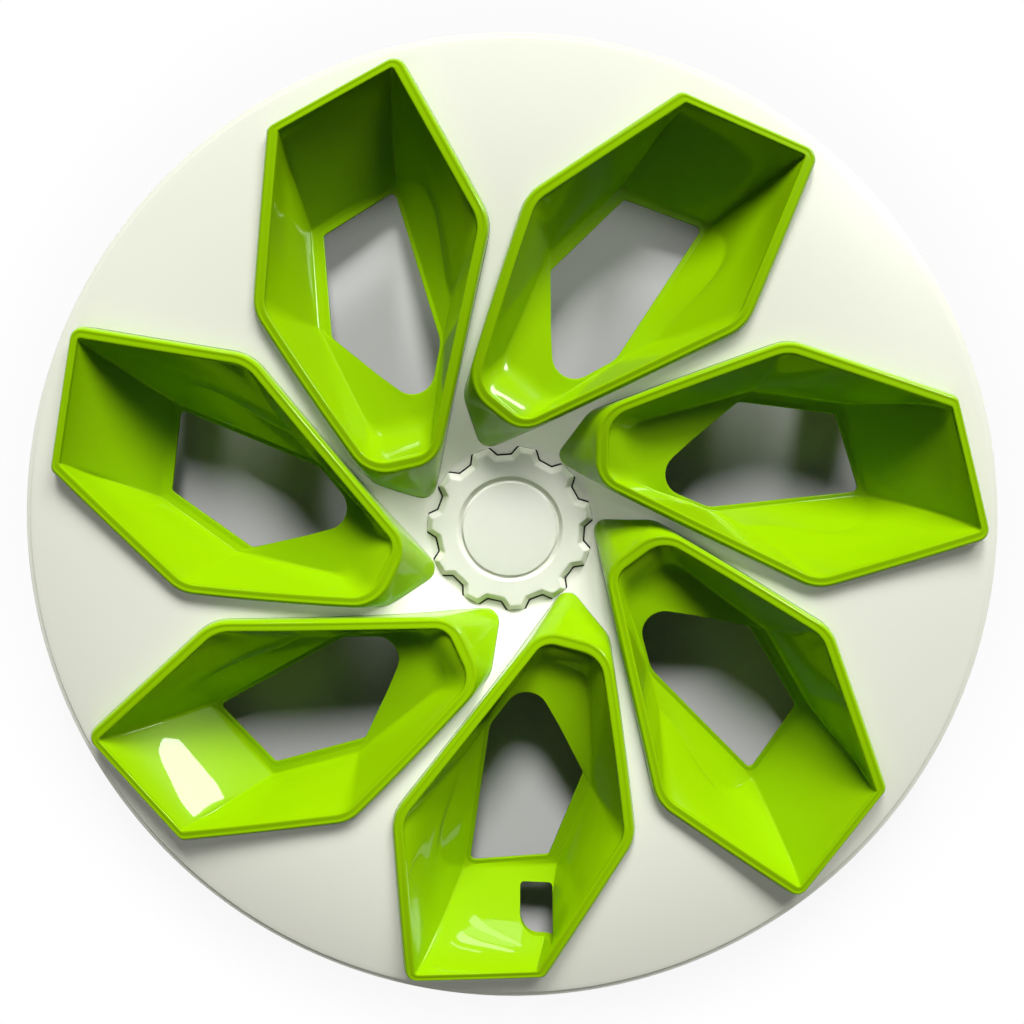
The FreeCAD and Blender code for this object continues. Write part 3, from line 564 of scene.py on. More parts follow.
SCOOP_SHARE = 0.30
SCOOP_OUT = 4.5
SCOOP_DOWN = 3.0
SCOOP_ROUNDS = np.array([1.4, 14.0, 8.0, 7.0, 15.0, 1.4])
SCOOP_BOWS = {TRAIL: (0.4, 0.0, 1.0, 1.0), LEAD: (3.0, 0.0, 1.3, 0.9)}


def scoop(grow, drop):
    """An outline part of the way down the walls. At the outer end it lies outside and below the
    straight slope, so the end wall starts steep and turns into a concave scoop."""
    mouth = inset(RIM_CORNERS, RIM_WIDTHS)
    mouth[:, 2] = rim_height(mouth)
    corners = mouth + (FLOOR_CORNERS - mouth) * SCOOP_SHARE
    for corner in (HEEL, TIP):
        corners[corner] += (SCOOP_OUT, 0.0, -SCOOP_DOWN)
    corners = inset(corners, np.full(SIDES, -grow))
    corners[:, 2] -= drop
    return ring(corners, SCOOP_ROUNDS + grow, SCOOP_BOWS)


print("lowest point of the floor line:", floor_line(0.0, 0.0)[:, 2].min().round(2), "mm")


# %% The skin of a pocket
def pocket_skin():
    """Rings in order: skirt's foot, rim bead, scoop, floor line, lip, hole, then back behind. Each has
    its blend length in millimetres and the number of rows between it and the next ring."""
    keys_and_blends = [
        (foot(skirt_end), 0.5, 2),
        (foot(disc_height), 0.5, 3),
        (rim(0.0, 2.2), 1.2, 0),
        (rim(0.17, 0.35), 0.7, 0),
        (rim(0.31, 0.0), 0.5, 0),
        (rim(0.50, 0.24), 0.5, 0),
        (rim(0.82, 0.0), 0.5, 0),
        (rim(0.93, 0.2), 0.4, 0),
        (rim(1.0, 1.5), 0.7, 6),
        (scoop(0.0, 0.0), by_side([6.0, 6.0, 4.0, 5.0, 8.0, 34.0]), 12),
        (floor_line(0.0, 0.0), by_side([1.3, 1.6, 6.0, 3.0, 1.6, 1.4]), 9),
        (hole(LIP_WIDTHS, 0.0), 0.5, 3),
        (hole(0.0, 0.0), 0.5, 0),
        (hole(0.0, WALL * 0.8), 0.4, 0),
        (hole(1.2, WALL * 0.9), 0.6, 2),
        (floor_line(WALL, WALL), 2.0, 6),
        (scoop(WALL, WALL / 2), 3.0, 4),
        (rim(0.5, 5.0), 0.6, 3),
        (foot(skirt_end, -2.0), 0.4, 0),
    ]
    keys = [key for key, blend, rows in keys_and_blends]
    blends = [np.broadcast_to(blend, OUTLINE_POINTS) for key, blend, rows in keys_and_blends]
    rows = [rows for key, blend, rows in keys_and_blends]
    return rounded_stack(keys, blends, rows)


skin = pocket_skin()
skin_faces = grid_faces(skin.shape[0], skin.shape[1], wrap_rows=True)
print("pocket skin:", skin.shape[0], "rows of", skin.shape[1], "points")

# %% [markdown]
# Screw tabs stick out behind the disc, on both sides of the pocket's outer half. They are flat
# plates with a round end. A plate is a plan outline carried between two heights.

# %% Screw tabs
BOSS_OFFSET = 7.5
BOSS_LEVEL = 3.0
TAB_WIDTH = 10.0
TAB_THICKNESS = 2.5
TAB_ROOT = 2.0
TAB_ARC_POINTS = 13
LEAD_BOSS_ALONG = 185.0
TRAIL_BOSS_ALONG = 190.0


def boss_place(first, second, along):
    """A boss centre beside the straight side between two rim corners, and the outward direction."""
    start, end = RIM_CORNERS[first], RIM_CORNERS[second]
    run = unit(end - start)
    outward = np.array([run[1], -run[0], 0.0])
    on_side = start + (end - start) * (along - start[0]) / (end[0] - start[0])
    return on_side + outward * BOSS_OFFSET, outward


BOSSES = [boss_place(LEAD, TIP, LEAD_BOSS_ALONG), boss_place(HEEL, TRAIL, TRAIL_BOSS_ALONG)]


def plate(outline, low, high):
    """A closed plate: a plan outline at two heights, with a face on each end."""
    count = len(outline)
    ends = [np.column_stack([outline, np.full(count, level)]) for level in (low, high)]
    points = np.concatenate(ends)
    return points, grid_faces(2, count) + [list(range(count)), list(range(count, 2 * count))]


def tab_plate(place, outward):
    """A tab from inside the skirt to a half circle round the boss."""
    half = TAB_WIDTH / 2
    side = np.array([-outward[1], outward[0]])
    root = place[:2] - outward[:2] * (BOSS_OFFSET + TAB_ROOT)
    angle = np.linspace(-math.pi / 2, math.pi / 2, TAB_ARC_POINTS)[:, None]
    end = place[:2] + half * (np.cos(angle) * outward[:2] + np.sin(angle) * side)
    outline = np.concatenate([[root - half * side], end, [root + half * side]])
    return plate(outline, BOSS_LEVEL - TAB_THICKNESS, BOSS_LEVEL)


def turned_shells(shells, degrees):
    """Shells turned about the wheel's axis."""
    return [(turn(np.reshape(points, (-1, 3)), degrees), faces) for points, faces in shells]


print("screws at", [np.round(place[:2], 1).tolist() for place, outward in BOSSES], "mm")

# %% Seven pockets
pocket_shells = [(skin, skin_faces)] + [tab_plate(*place) for place in BOSSES]
pockets = []
for i, angle in enumerate(POCKET_ANGLES):
    pocket = make_piece(f"pocket_{i + 1}", turned_shells(pocket_shells, angle), GREEN)
    stand_for(pocket, "green_plastic", f"pocket_insert_{i + 1}")
    pockets.append(pocket)

# %% [markdown]
# The tyre's valve comes through the bottom pocket, in a cut-out with one large corner. A cut across
# a curved grid is the case where a boolean is the right tool: an upright plate is taken away from
# the finished skin, and edges sharper than 35 degrees are then shaded as edges.

# %% Valve cut-out
VALVE_MIDDLE = np.array([193.4, 13.5])
VALVE_HALF = np.array([10.9, 8.25])
VALVE_ROUNDS = np.array([2.0, 9.0, 2.0, 2.0])
VALVE_LEVELS = (-40.0, 12.0)
VALVE_ARC_POINTS = 9
CUT_EDGE = math.radians(35)


def cut_away(piece, cutter):
    """The piece less a cutter."""
    step = piece.modifiers.new("cut", "BOOLEAN")
    step.operation = "DIFFERENCE"
    step.object = cutter
    step.solver = "EXACT"
    graph = bpy.context.evaluated_depsgraph_get()
    whole = piece.data
    cut = bpy.data.meshes.new_from_object(piece.evaluated_get(graph))
    piece.modifiers.clear()
    piece.data = cut
    bpy.data.meshes.remove(whole)
    bpy.data.objects.remove(cutter)
    cut.set_sharp_from_angle(angle=CUT_EDGE)
    print(piece.name, "after the cut:", len(cut.polygons), "faces")


valve_corners = VALVE_MIDDLE + VALVE_HALF * np.array([(-1, -1), (1, -1), (1, 1), (-1, 1)])
valve_outline = corner_arcs(valve_corners, VALVE_ROUNDS, VALVE_ARC_POINTS).reshape(-1, 2)
valve_plate = turned_shells([plate(valve_outline, *VALVE_LEVELS)], VALVE_POCKET_ANGLE)
cut_away(pockets[0], make_piece("valve_cutter", valve_plate, GREEN))

# %% [markdown]
# ## The disc
# The disc is a surface of revolution with seven openings. A revolved mesh with booleans would leave
# long thin faces on a satin dome, so each pocket gets its own share of the disc: rows run from the
# opening's edge to a border, and the borders of neighbours have the same points, so the seven
# shares weld into one. The border follows the middle of the white spoke between two pockets.

# %% A share of the disc
CLEARANCE = 0.12
HUB_HOLE = 28.0
HUB_RING = 42.2
SEAT_RADIUS = 230.0
BACK_EDGE = 228.75
SEAM_RADII = np.array([HUB_RING, 46.0, 55.0, 65.0, 80.0, 100.0, 120.0, 153.0, 190.0, SEAT_RADIUS])
SEAM_ANGLES = np.array([62.0, 59.5, 53.0, 47.0, 40.0, 34.6, 30.3, 25.9, 22.5, 20.5])
SEAM_STATIONS = 64
HUB_STATIONS = 16
EDGE_STATIONS = 48
SECTOR_ROWS = 18
ROW_CROWDING = 1.3
TRAIL_FACES = 152.0
NOSE_FACES = 66.0
LEAD_FACES = 140.0
NOSE_SPREAD = 6


def disc_back(radius):
    """Back of the disc: an even wall, then a short slope down to the seat."""
    radius = np.asarray(radius, float)
    slope = disc_height(BACK_EDGE, DISC_WALL) * (SEAT_RADIUS - radius) / (SEAT_RADIUS - BACK_EDGE)
    return np.where(radius > BACK_EDGE, slope, disc_height(radius, DISC_WALL))


def polar(radius, degrees):
    """Points in plan: radius * cos(angle) and radius * sin(angle)."""
    angle = np.radians(degrees)
    return np.stack(np.broadcast_arrays(radius * np.cos(angle), radius * np.sin(angle)), -1)


def sector_border():
    """Border of a share: inward along the trailing seam, along the hub, outward along the leading
    seam, and back along the edge. The leading seam is the trailing one turned by a pitch."""
    radii = np.linspace(SEAT_RADIUS, HUB_RING, SEAM_STATIONS)
    seam = np.interp(radii, SEAM_RADII, SEAM_ANGLES)
    hub = SEAM_ANGLES[0] - PITCH * np.arange(1, HUB_STATIONS) / HUB_STATIONS
    edge = SEAM_ANGLES[-1] - PITCH + PITCH * np.arange(1, EDGE_STATIONS) / EDGE_STATIONS
    trailing = polar(radii, seam)
    leading = polar(radii[::-1], seam[::-1] - PITCH)
    return np.concatenate([trailing, polar(HUB_RING, hub), leading, polar(SEAT_RADIUS, edge)])


def opening_places():
    """For each border point, its place on the opening's outline. Corners of the outline face fixed
    places of the border, and the points between them are spread evenly."""
    starts = np.cumsum([0] + [CORNER_POINTS + count for count in SIDE_POINTS])
    corner = starts[:-1] + (CORNER_POINTS - 1) / 2

    def station(radius):
        """Number of the seam's border point at a radius."""
        return (SEAT_RADIUS - radius) / (SEAT_RADIUS - HUB_RING) * (SEAM_STATIONS - 1)

    hub_start = SEAM_STATIONS - 1
    lead_start = hub_start + HUB_STATIONS
    lead_end = lead_start + SEAM_STATIONS - 1
    border = [
        0, station(TRAIL_FACES), station(NOSE_FACES), hub_start, hub_start + HUB_STATIONS / 2,
        lead_start, lead_end - station(LEAD_FACES), lead_end, lead_end + EDGE_STATIONS,
    ]
    nose = corner[NOSE_LEAD]
    outline = [
        corner[HEEL], corner[TRAIL], corner[NOSE_TRAIL], nose - NOSE_SPREAD, nose,
        nose + NOSE_SPREAD, corner[LEAD], corner[TIP], starts[-1] + corner[HEEL],
    ]
    return np.interp(np.arange(lead_end + EDGE_STATIONS), border, outline)


def resample(outline, places):
    """Points of a closed outline at places counted in its own points."""
    count = len(outline)
    closed = np.vstack([outline, outline[:1]])
    numbers = np.arange(count + 1)
    return np.column_stack([np.interp(places % count, numbers, column) for column in closed.T])


def sector(height):
    """One share of the front or the back: straight rows in plan, lifted onto the surface."""
    inner = resample(foot(height, CLEARANCE), opening_places())
    share = np.linspace(0, 1, SECTOR_ROWS)[:, None, None] ** ROW_CROWDING
    plan = inner[None, :, :2] * (1 - share) + sector_border()[None] * share
    return np.concatenate([plan, height(np.hypot(plan[..., 0], plan[..., 1]))[..., None]], -1)


front = sector(disc_height)
back = sector(disc_back)
columns = front.shape[1]
share_shells = [
    (front, grid_faces(SECTOR_ROWS, columns)),
    (back, grid_faces(SECTOR_ROWS, columns)),
    (np.stack([front[0], back[0]]), grid_faces(2, columns)),
]
print("a share of the disc:", SECTOR_ROWS, "rows of", columns, "points")

# %% [markdown]
# The hub floor and the outer edge are plain rings. Their sections are short lines with small rounds,
# turned about the axis at the same angles as the borders of the shares.

# %% Turned sections
def rounded_line(points, rounds, steps=5):
    """An open line whose inner corners are replaced by arcs."""
    points = np.asarray(points, float)
    arcs = corner_arcs(points, np.asarray(rounds, float), steps)[1:-1]
    return np.concatenate([points[:1], arcs.reshape(-1, 2), points[-1:]])


def revolve(section, degrees):
    """Points of a section, pairs of radius and height, turned to each angle."""
    plan = polar(section[:, 0, None], np.asarray(degrees)[None])
    level = np.broadcast_to(section[:, 1, None, None], plan.shape[:2] + (1,))
    return np.concatenate([plan, level], -1)


def revolved_shell(section, count):
    """A section turned all the way round, as a shell."""
    points = revolve(section, np.arange(count) * 360.0 / count)
    return points, grid_faces(len(section), count)


# %% Hub, edge and disc
HUB_CHAMFER = 0.4
HUB_ROWS = 14
hub_radii = np.linspace(HUB_RING, HUB_HOLE + HUB_CHAMFER, HUB_ROWS)
hub_front = np.column_stack([hub_radii, disc_height(hub_radii)])
hub_back = np.column_stack([hub_radii[::-1], disc_back(hub_radii[::-1])])
hub_wall_foot = HUB_LEVEL - DISC_WALL + HUB_CHAMFER
hub_wall = [(HUB_HOLE, HUB_LEVEL - HUB_CHAMFER), (HUB_HOLE, hub_wall_foot)]
hub_section = np.concatenate([hub_front, hub_wall, hub_back])
EDGE_BAND = 232.5
EDGE_STEP = 0.8
EDGE_STEP_RUN = 0.15
EDGE_ROUNDS = [0.0, 0.3, 0.15, 0.6, 0.3, 0.0]
edge_section = rounded_line(
    [
        (SEAT_RADIUS, disc_height(SEAT_RADIUS)),
        (EDGE_BAND, disc_height(EDGE_BAND)),
        (EDGE_BAND + EDGE_STEP_RUN, disc_height(EDGE_BAND) - EDGE_STEP),
        (COVER_RADIUS, disc_height(COVER_RADIUS) - EDGE_STEP),
        (COVER_RADIUS, 0.0),
        (SEAT_RADIUS, 0.0),
    ],
    EDGE_ROUNDS,
)


def station_angles(start, stations):
    """Angles of a full ring of stations that starts where a share of the disc starts."""
    return VALVE_POCKET_ANGLE + start + np.arange(POCKETS * stations) * PITCH / stations


hub_angles = station_angles(SEAM_ANGLES[0], HUB_STATIONS)
edge_angles = station_angles(SEAM_ANGLES[-1], EDGE_STATIONS)
disc_shells = [
    (revolve(hub_section, hub_angles), grid_faces(len(hub_section), len(hub_angles))),
    (revolve(edge_section, edge_angles), grid_faces(len(edge_section), len(edge_angles))),
]
for angle in POCKET_ANGLES:
    disc_shells += turned_shells(share_shells, angle)
disc = make_piece("disc_shell", disc_shells, WHITE, weld=0.02)
SHARP_EDGE = math.radians(40)
disc.data.set_sharp_from_angle(angle=SHARP_EDGE)
stand_for(disc, "white_plastic", "face_disc")

# %% [markdown]
# ## Clip fingers and bosses behind the disc
# Behind each spoke stands a finger: a plate with two slotted ribs that hold the wire ring, and a barb
# that snaps into the wheel. It could be pieced together from boxes, but the seats are round, so a section
# carried sideways is enough.

# %% Fingers
CLIP_ANGLE = -29.0
CLIP_FACE = 204.45
CLIP_WALL = 3.0
CLIP_WIDTH = 24.0
RIB_LENGTH = 17.0
RIB_SPREAD = 18.0
BARB_TOP = -12.0
BARB_HEIGHT = 12.0
BARB_REACH = 4.0
RING_RADIUS = 203.0
RING_LEVEL = -30.5
WIRE_RADIUS = 1.6
WIRE_FIT = 0.15
WIRE_MOUTH = 2.6
SEAT_POINTS = 25
SEAT_WEB = 0.05
BARB_ROOT = 0.5
CLIP_TOP = disc_height(RING_RADIUS) - DISC_WALL / 2


def upright(section, middle, width):
    """A prism across the radius: a section in radius and height, carried sideways."""
    points, faces = plate(np.asarray(section, float), middle - width / 2, middle + width / 2)
    return points[:, [0, 2, 1]], faces


def rib_section():
    """A tapering rib with a round seat for the wire, open towards the axis."""
    seat = WIRE_RADIUS + WIRE_FIT
    half = WIRE_MOUTH / 2
    opening = math.degrees(math.asin(half / seat))

    def inner(level):
        """Radius of the rib's inner edge at a level."""
        return CLIP_FACE - RIB_LENGTH / 2 * (1 + (level - FOOT_LEVEL) / (CLIP_TOP - FOOT_LEVEL))

    seat_angles = np.linspace(180 - opening, opening - 180, SEAT_POINTS)
    seat_arc = polar(seat, seat_angles) + (RING_RADIUS, RING_LEVEL)
    seat_arc[:, 0] = np.minimum(seat_arc[:, 0], CLIP_FACE - SEAT_WEB)
    above = (inner(RING_LEVEL + half), RING_LEVEL + half)
    below = (inner(RING_LEVEL - half), RING_LEVEL - half)
    frame_points = [
        (inner(FOOT_LEVEL), FOOT_LEVEL),
        (CLIP_FACE, FOOT_LEVEL),
        (CLIP_FACE, CLIP_TOP),
        (inner(CLIP_TOP), CLIP_TOP),
    ]
    return np.concatenate([frame_points, [above], seat_arc, [below]])


clip_back = CLIP_FACE + CLIP_WALL
plate_section = [
    (CLIP_FACE, FOOT_LEVEL),
    (clip_back, FOOT_LEVEL),
    (clip_back, CLIP_TOP),
    (CLIP_FACE, CLIP_TOP),
]
barb_foot = BARB_TOP - BARB_HEIGHT
barb_section = [
    (clip_back - BARB_ROOT, barb_foot),
    (clip_back, barb_foot),
    (clip_back + BARB_REACH, BARB_TOP - BARB_HEIGHT / 2),
    (clip_back, BARB_TOP),
    (clip_back - BARB_ROOT, BARB_TOP),
]
clip_shells = [
    upright(plate_section, 0.0, CLIP_WIDTH),
    upright(rib_section(), -RIB_SPREAD / 2, CLIP_WALL),
    upright(rib_section(), RIB_SPREAD / 2, CLIP_WALL),
    upright(barb_section, 0.0, CLIP_WIDTH / 2),
]
finger_shells = []
for angle in POCKET_ANGLES:
    finger_shells += turned_shells(clip_shells, angle + CLIP_ANGLE)
fingers = make_piece("clip_fingers", finger_shells, WHITE)
stand_for(fingers, "white_plastic", "face_disc")

# %% [markdown]
# Two screws hold each pocket: they go through its tabs into round bosses on the disc. Posts and screws
# are turned sections. The cross recess could be cut with a boolean, but it is small and there are
# fourteen, so it is pressed into the rings of the head instead.

# %% Bosses and screws
BOSS_RADIUS = 4.0
SCREW_RADIUS = 1.5
HEAD_RADIUS = 3.5
HEAD_HEIGHT = 2.4
SHANK_LENGTH = 8.0
HEAD_ROUNDS = [0, 1.4, 0.1, 0.1, 0.3, 0]
HEAD_RINGS = 16
HEAD_SPOKES = 48
CROSS_REACH = 2.1
CROSS_HALF = 0.55
CROSS_DEPTH = 1.1
CROSS_SLOPE = 0.25
FACE_MARGIN = 0.01
SCREW_EDGE = math.radians(45)
BOSS_ROUNDS = [0, 0.4, 0.1, 0]
BOSS_SPOKES = 32
head_top = BOSS_LEVEL - TAB_THICKNESS


def beside(shell, place):
    """A shell moved from the axis to a place in plan."""
    points, faces = shell
    return np.reshape(points, (-1, 3)) + (place[0], place[1], 0.0), faces


def boss(place):
    """A round post from the tab's level into the disc, with a small round on its foot."""
    top = float(disc_height(np.hypot(*place[:2]))) - DISC_WALL / 2
    corners = [(0, BOSS_LEVEL), (BOSS_RADIUS, BOSS_LEVEL), (BOSS_RADIUS, top), (0, top)]
    return beside(revolved_shell(rounded_line(corners, BOSS_ROUNDS), BOSS_SPOKES), place)


def screw(place):
    """A pan head with a cross recess, and its shank. The recess is pressed into the head's rings:
    points inside either arm of the cross move up by the recess depth."""
    head_end = head_top - HEAD_HEIGHT
    shank_end = head_top + SHANK_LENGTH
    corners = [
        (0, head_end), (HEAD_RADIUS, head_end), (HEAD_RADIUS, head_top),
        (SCREW_RADIUS, head_top), (SCREW_RADIUS, shank_end), (0, shank_end),
    ]
    line = rounded_line(corners, HEAD_ROUNDS)
    face_radii = np.linspace(0, line[1, 0], HEAD_RINGS)[:-1]
    face = np.column_stack([face_radii, np.full(HEAD_RINGS - 1, head_end)])
    angles = np.arange(HEAD_SPOKES) * 360.0 / HEAD_SPOKES
    points = revolve(np.concatenate([face, line[1:]]), angles)
    x, y = np.abs(points[..., 0]), np.abs(points[..., 1])
    along_x = np.minimum(CROSS_REACH - x, CROSS_HALF - y)
    along_y = np.minimum(CROSS_REACH - y, CROSS_HALF - x)
    inside = np.clip(np.maximum(along_x, along_y) / CROSS_SLOPE + 0.5, 0, 1)
    on_face = points[..., 2] < head_end + FACE_MARGIN
    points[..., 2] += np.where(on_face, CROSS_DEPTH * inside, 0.0)
    return beside((points, grid_faces(points.shape[0], points.shape[1])), place)


boss_shells = []
screw_shells = []
for angle in POCKET_ANGLES:
    boss_shells += turned_shells([boss(place) for place, outward in BOSSES], angle)
    screw_shells += turned_shells([screw(place) for place, outward in BOSSES], angle)
bosses = make_piece("screw_bosses", boss_shells, WHITE, weld=0.005)
stand_for(bosses, "white_plastic", "face_disc")
screws = make_piece("pocket_screws", screw_shells, ZINC, weld=0.005)
screws.data.set_sharp_from_angle(angle=SCREW_EDGE)
stand_for(screws, "screw_steel", "insert_screws")

# %% [markdown]
# ## Gear cap
# The hub is covered by a low gear with drafted teeth and a round recess for a plate. Teeth could be
# added to a turned cap one by one, but their roots would then need blends. Here the skin starts in the
# middle of the recess, runs over the face and the teeth, and goes back under them to the collar.
# Circles in this stack are the gear outline pulled onto a radius, so every ring has as many points.

# %% Gear outline and cap
CAP_TEETH = 11
CAP_TURN = 12.5
CAP_TIP = 41.7
CAP_ROOT = 37.1
TOOTH_TIP_WIDTH = 8.5
TOOTH_ROOT_WIDTH = 14.0
CAP_HEIGHT = 4.0
CAP_DRAFT = math.radians(35.0)
RECESS_RADIUS = 25.7
RECESS_SLOPE = 0.6
RECESS_DEPTH = 2.2
GROOVE_RADIUS = 24.4
COLLAR_RADIUS = 27.8
COLLAR_WALL = 2.0
COLLAR_LENGTH = 6.0
COLLAR_BEAD = 1.0
COLLAR_STEP = 0.2
CAP_FACE = HUB_LEVEL + CAP_HEIGHT
GEAR_ARC_POINTS = 7
GEAR_SIDE_STEPS = 5
GEAR_FOOT_ROUNDS = np.array([1.2, 1.4, 1.4, 1.2])
GEAR_TOP_ROUNDS = np.array([1.6, 1.0, 1.0, 1.6])


def gear_outline(lean, level, rounds):
    """The toothed outline, its sides moved inward by a lean: two root and two tip corners a tooth."""
    middles = np.radians(CAP_TURN + np.arange(CAP_TEETH) * 360.0 / CAP_TEETH)[:, None]
    radii = np.array([CAP_ROOT, CAP_TIP, CAP_TIP, CAP_ROOT])
    halves = np.array([-TOOTH_ROOT_WIDTH, -TOOTH_TIP_WIDTH, TOOTH_TIP_WIDTH, TOOTH_ROOT_WIDTH]) / 2
    angles = (middles + np.arcsin(halves / radii)).ravel()
    plan = polar(np.tile(radii, CAP_TEETH), np.degrees(angles))
    corners = np.column_stack([plan, np.full(len(angles), level)])
    corners = inset(corners, np.full(len(corners), lean))
    arcs = corner_arcs(corners, np.tile(rounds, CAP_TEETH), GEAR_ARC_POINTS)
    gaps = np.linspace(0, 1, GEAR_SIDE_STEPS + 1)[None, 1:-1, None]
    sides = arcs[:, -1:] * (1 - gaps) + np.roll(arcs[:, :1], -1, 0) * gaps
    return np.concatenate([arcs, sides], 1).reshape(-1, 3)


gear_foot = gear_outline(0.0, HUB_LEVEL, GEAR_FOOT_ROUNDS)
gear_top = gear_outline(CAP_HEIGHT * math.tan(CAP_DRAFT), CAP_FACE, GEAR_TOP_ROUNDS)


def circle(radius, level):
    """The gear's outline pulled onto a circle."""
    plan = unit(gear_foot[:, :2]) * radius
    return np.column_stack([plan, np.full(len(plan), level)])


cap_keys = [
    (circle(0.0, CAP_FACE - RECESS_DEPTH), 0.0, 2),
    (circle(GROOVE_RADIUS, CAP_FACE - RECESS_DEPTH), 0.2, 1),
    (circle(RECESS_RADIUS + RECESS_SLOPE, CAP_FACE), 0.5, 4),
    (gear_top, 0.9, 3),
    (gear_foot, 0.2, 4),
    (circle(COLLAR_RADIUS, HUB_LEVEL), 0.2, 2),
    (circle(COLLAR_RADIUS, HUB_LEVEL - DISC_WALL - COLLAR_STEP), 0.1, 1),
    (circle(COLLAR_RADIUS + COLLAR_BEAD, HUB_LEVEL - (DISC_WALL + COLLAR_LENGTH) / 2), 0.5, 1),
    (circle(COLLAR_RADIUS, HUB_LEVEL - COLLAR_LENGTH), 0.4, 1),
    (circle(COLLAR_RADIUS - COLLAR_WALL, HUB_LEVEL - COLLAR_LENGTH), 0.4, 2),
    (circle(COLLAR_RADIUS - COLLAR_WALL, HUB_LEVEL), 0.4, 3),
    (circle(0.0, HUB_LEVEL), 0.0, 0),
]
cap_count = len(gear_foot)
cap_skin = rounded_stack(
    [key for key, blend, rows in cap_keys],
    [np.full(cap_count, blend) for key, blend, rows in cap_keys],
    [rows for key, blend, rows in cap_keys],
)
cap_faces = grid_faces(len(cap_skin), cap_count)
cap = make_piece("gear_cap", [(cap_skin, cap_faces)], CAP_WHITE, weld=0.004)
cap.data.set_sharp_from_angle(angle=SHARP_EDGE)
stand_for(cap, "cap_plastic", "centre_cap")

# %% [markdown]
# A thin black ring under the cap is painted shade: it shows as the dark shadow gap round the teeth.
# It is a flat ring whose outside is the gear outline, grown a little. A dark stripe painted on the disc
# would do from above, but a ring also shows from the side.

# %% Painted shadow ring under the cap
SHADOW_RING_REACH = 0.55
SHADOW_RING_HEIGHT = 0.35
SHADOW_RING_SUNK = 0.3
SHADOW_RING_INSIDE = 33.0
shadow_ring_foot = HUB_LEVEL - SHADOW_RING_SUNK
shadow_ring_top = HUB_LEVEL + SHADOW_RING_HEIGHT
shadow_ring_rounds = np.array([1.6, 1.4, 1.4, 1.6])
shadow_ring_outlines = np.stack([
    gear_outline(-SHADOW_RING_REACH, shadow_ring_foot, shadow_ring_rounds),
    gear_outline(-SHADOW_RING_REACH, shadow_ring_top, shadow_ring_rounds),
    circle(SHADOW_RING_INSIDE, shadow_ring_top),
    circle(SHADOW_RING_INSIDE, shadow_ring_foot),
])
shadow_ring_faces = grid_faces(len(shadow_ring_outlines), shadow_ring_outlines.shape[1], wrap_rows=True)
# The black ring is painted shade: a dark line where the cap's teeth meet the hub.
shadow_ring = make_piece("cap_shadow_ring", [(shadow_ring_outlines, shadow_ring_faces)], SHADOW_GAP_BLACK)
shadow_ring.data.set_sharp_from_angle(angle=SHARP_EDGE)
stand_for(shadow_ring, "cap_plastic", "centre_cap")

# %% [markdown]
# A plain round plate lies in the recess of the cap, with a narrow groove round it. A cylinder would do
# for the plate, but its sloping edge catches the light, so it is a turned section.

# %% Emblem plate
EMBLEM_RADIUS = 23.9
EMBLEM_FACE = 23.2
EMBLEM_HEIGHT = 2.0
EMBLEM_EDGE = 0.3
EMBLEM_ROUNDS = [0, 0.05, 0.1, 0.4, 0]
EMBLEM_SPOKES = 128
emblem_floor = CAP_FACE - RECESS_DEPTH
emblem_top = emblem_floor + EMBLEM_HEIGHT
emblem_corners = [
    (0, emblem_floor),
    (EMBLEM_RADIUS, emblem_floor),
    (EMBLEM_RADIUS, emblem_floor + EMBLEM_EDGE),
    (EMBLEM_FACE, emblem_top),
    (0, emblem_top),
]
emblem_line = rounded_line(emblem_corners, EMBLEM_ROUNDS)
emblem_shell = revolved_shell(emblem_line, EMBLEM_SPOKES)
emblem = make_piece("emblem_plate", [emblem_shell], EMBLEM_WHITE, weld=0.004)
emblem.data.set_sharp_from_angle(angle=SHARP_EDGE)
stand_for(emblem, "emblem_plastic", "emblem_disc")

# %% [markdown]
# ## The wire ring
# A ring of spring wire holds the fingers apart. It has a notch so that it clears the tyre's valve. A
# curve with a round bevel would do, but points worked out here have bends of an exact radius: the
# middle line is a chain of arcs and straight legs, and the wire is a circle carried along it.

# %% Wire
NOTCH_DEPTH = 25.0
NOTCH_WIDTH = 26.0
WIRE_BEND = 7.0
WIRE_POINTS = 260
UPPER_BEND_POINTS = 12
LOWER_BEND_POINTS = 10


def arc(centre, radius, start, end, count):
    """Points on a circle from one angle to another."""
    return polar(radius, np.linspace(start, end, count)) + centre


def wire_path():
    """Half of the notch is drawn and mirrored, then joined by the long arc of the ring."""
    half = NOTCH_WIDTH / 2
    rise = math.sqrt((RING_RADIUS - WIRE_BEND) ** 2 - (half + WIRE_BEND) ** 2)
    spread = math.degrees(math.atan2(half + WIRE_BEND, rise))
    bottom = RING_RADIUS - NOTCH_DEPTH
    upper = arc((rise, half + WIRE_BEND), WIRE_BEND, -90, spread, UPPER_BEND_POINTS)
    lower = arc((bottom + WIRE_BEND, half - WIRE_BEND), WIRE_BEND, 180, 90, LOWER_BEND_POINTS)
    side = np.concatenate([lower, upper])
    mirrored = side[::-1][1:] * (1, -1)
    long_arc = arc((0, 0), RING_RADIUS, spread, 360 - spread, WIRE_POINTS)
    return np.concatenate([side[:-1], long_arc, mirrored])


def tube(path, radius, level, around=14):
    """A wire along a flat closed path: each ring lies across the run of its neighbours."""
    run = unit(np.roll(path, -1, 0) - np.roll(path, 1, 0))
    outward = np.stack([run[:, 1], -run[:, 0]], -1)
    angle = np.arange(around) * 2 * math.pi / around
    plan = path[:, None] + radius * np.cos(angle)[None, :, None] * outward[:, None]
    rise = np.broadcast_to(level + radius * np.sin(angle)[None, :, None], plan.shape[:2] + (1,))
    return np.concatenate([plan, rise], -1)


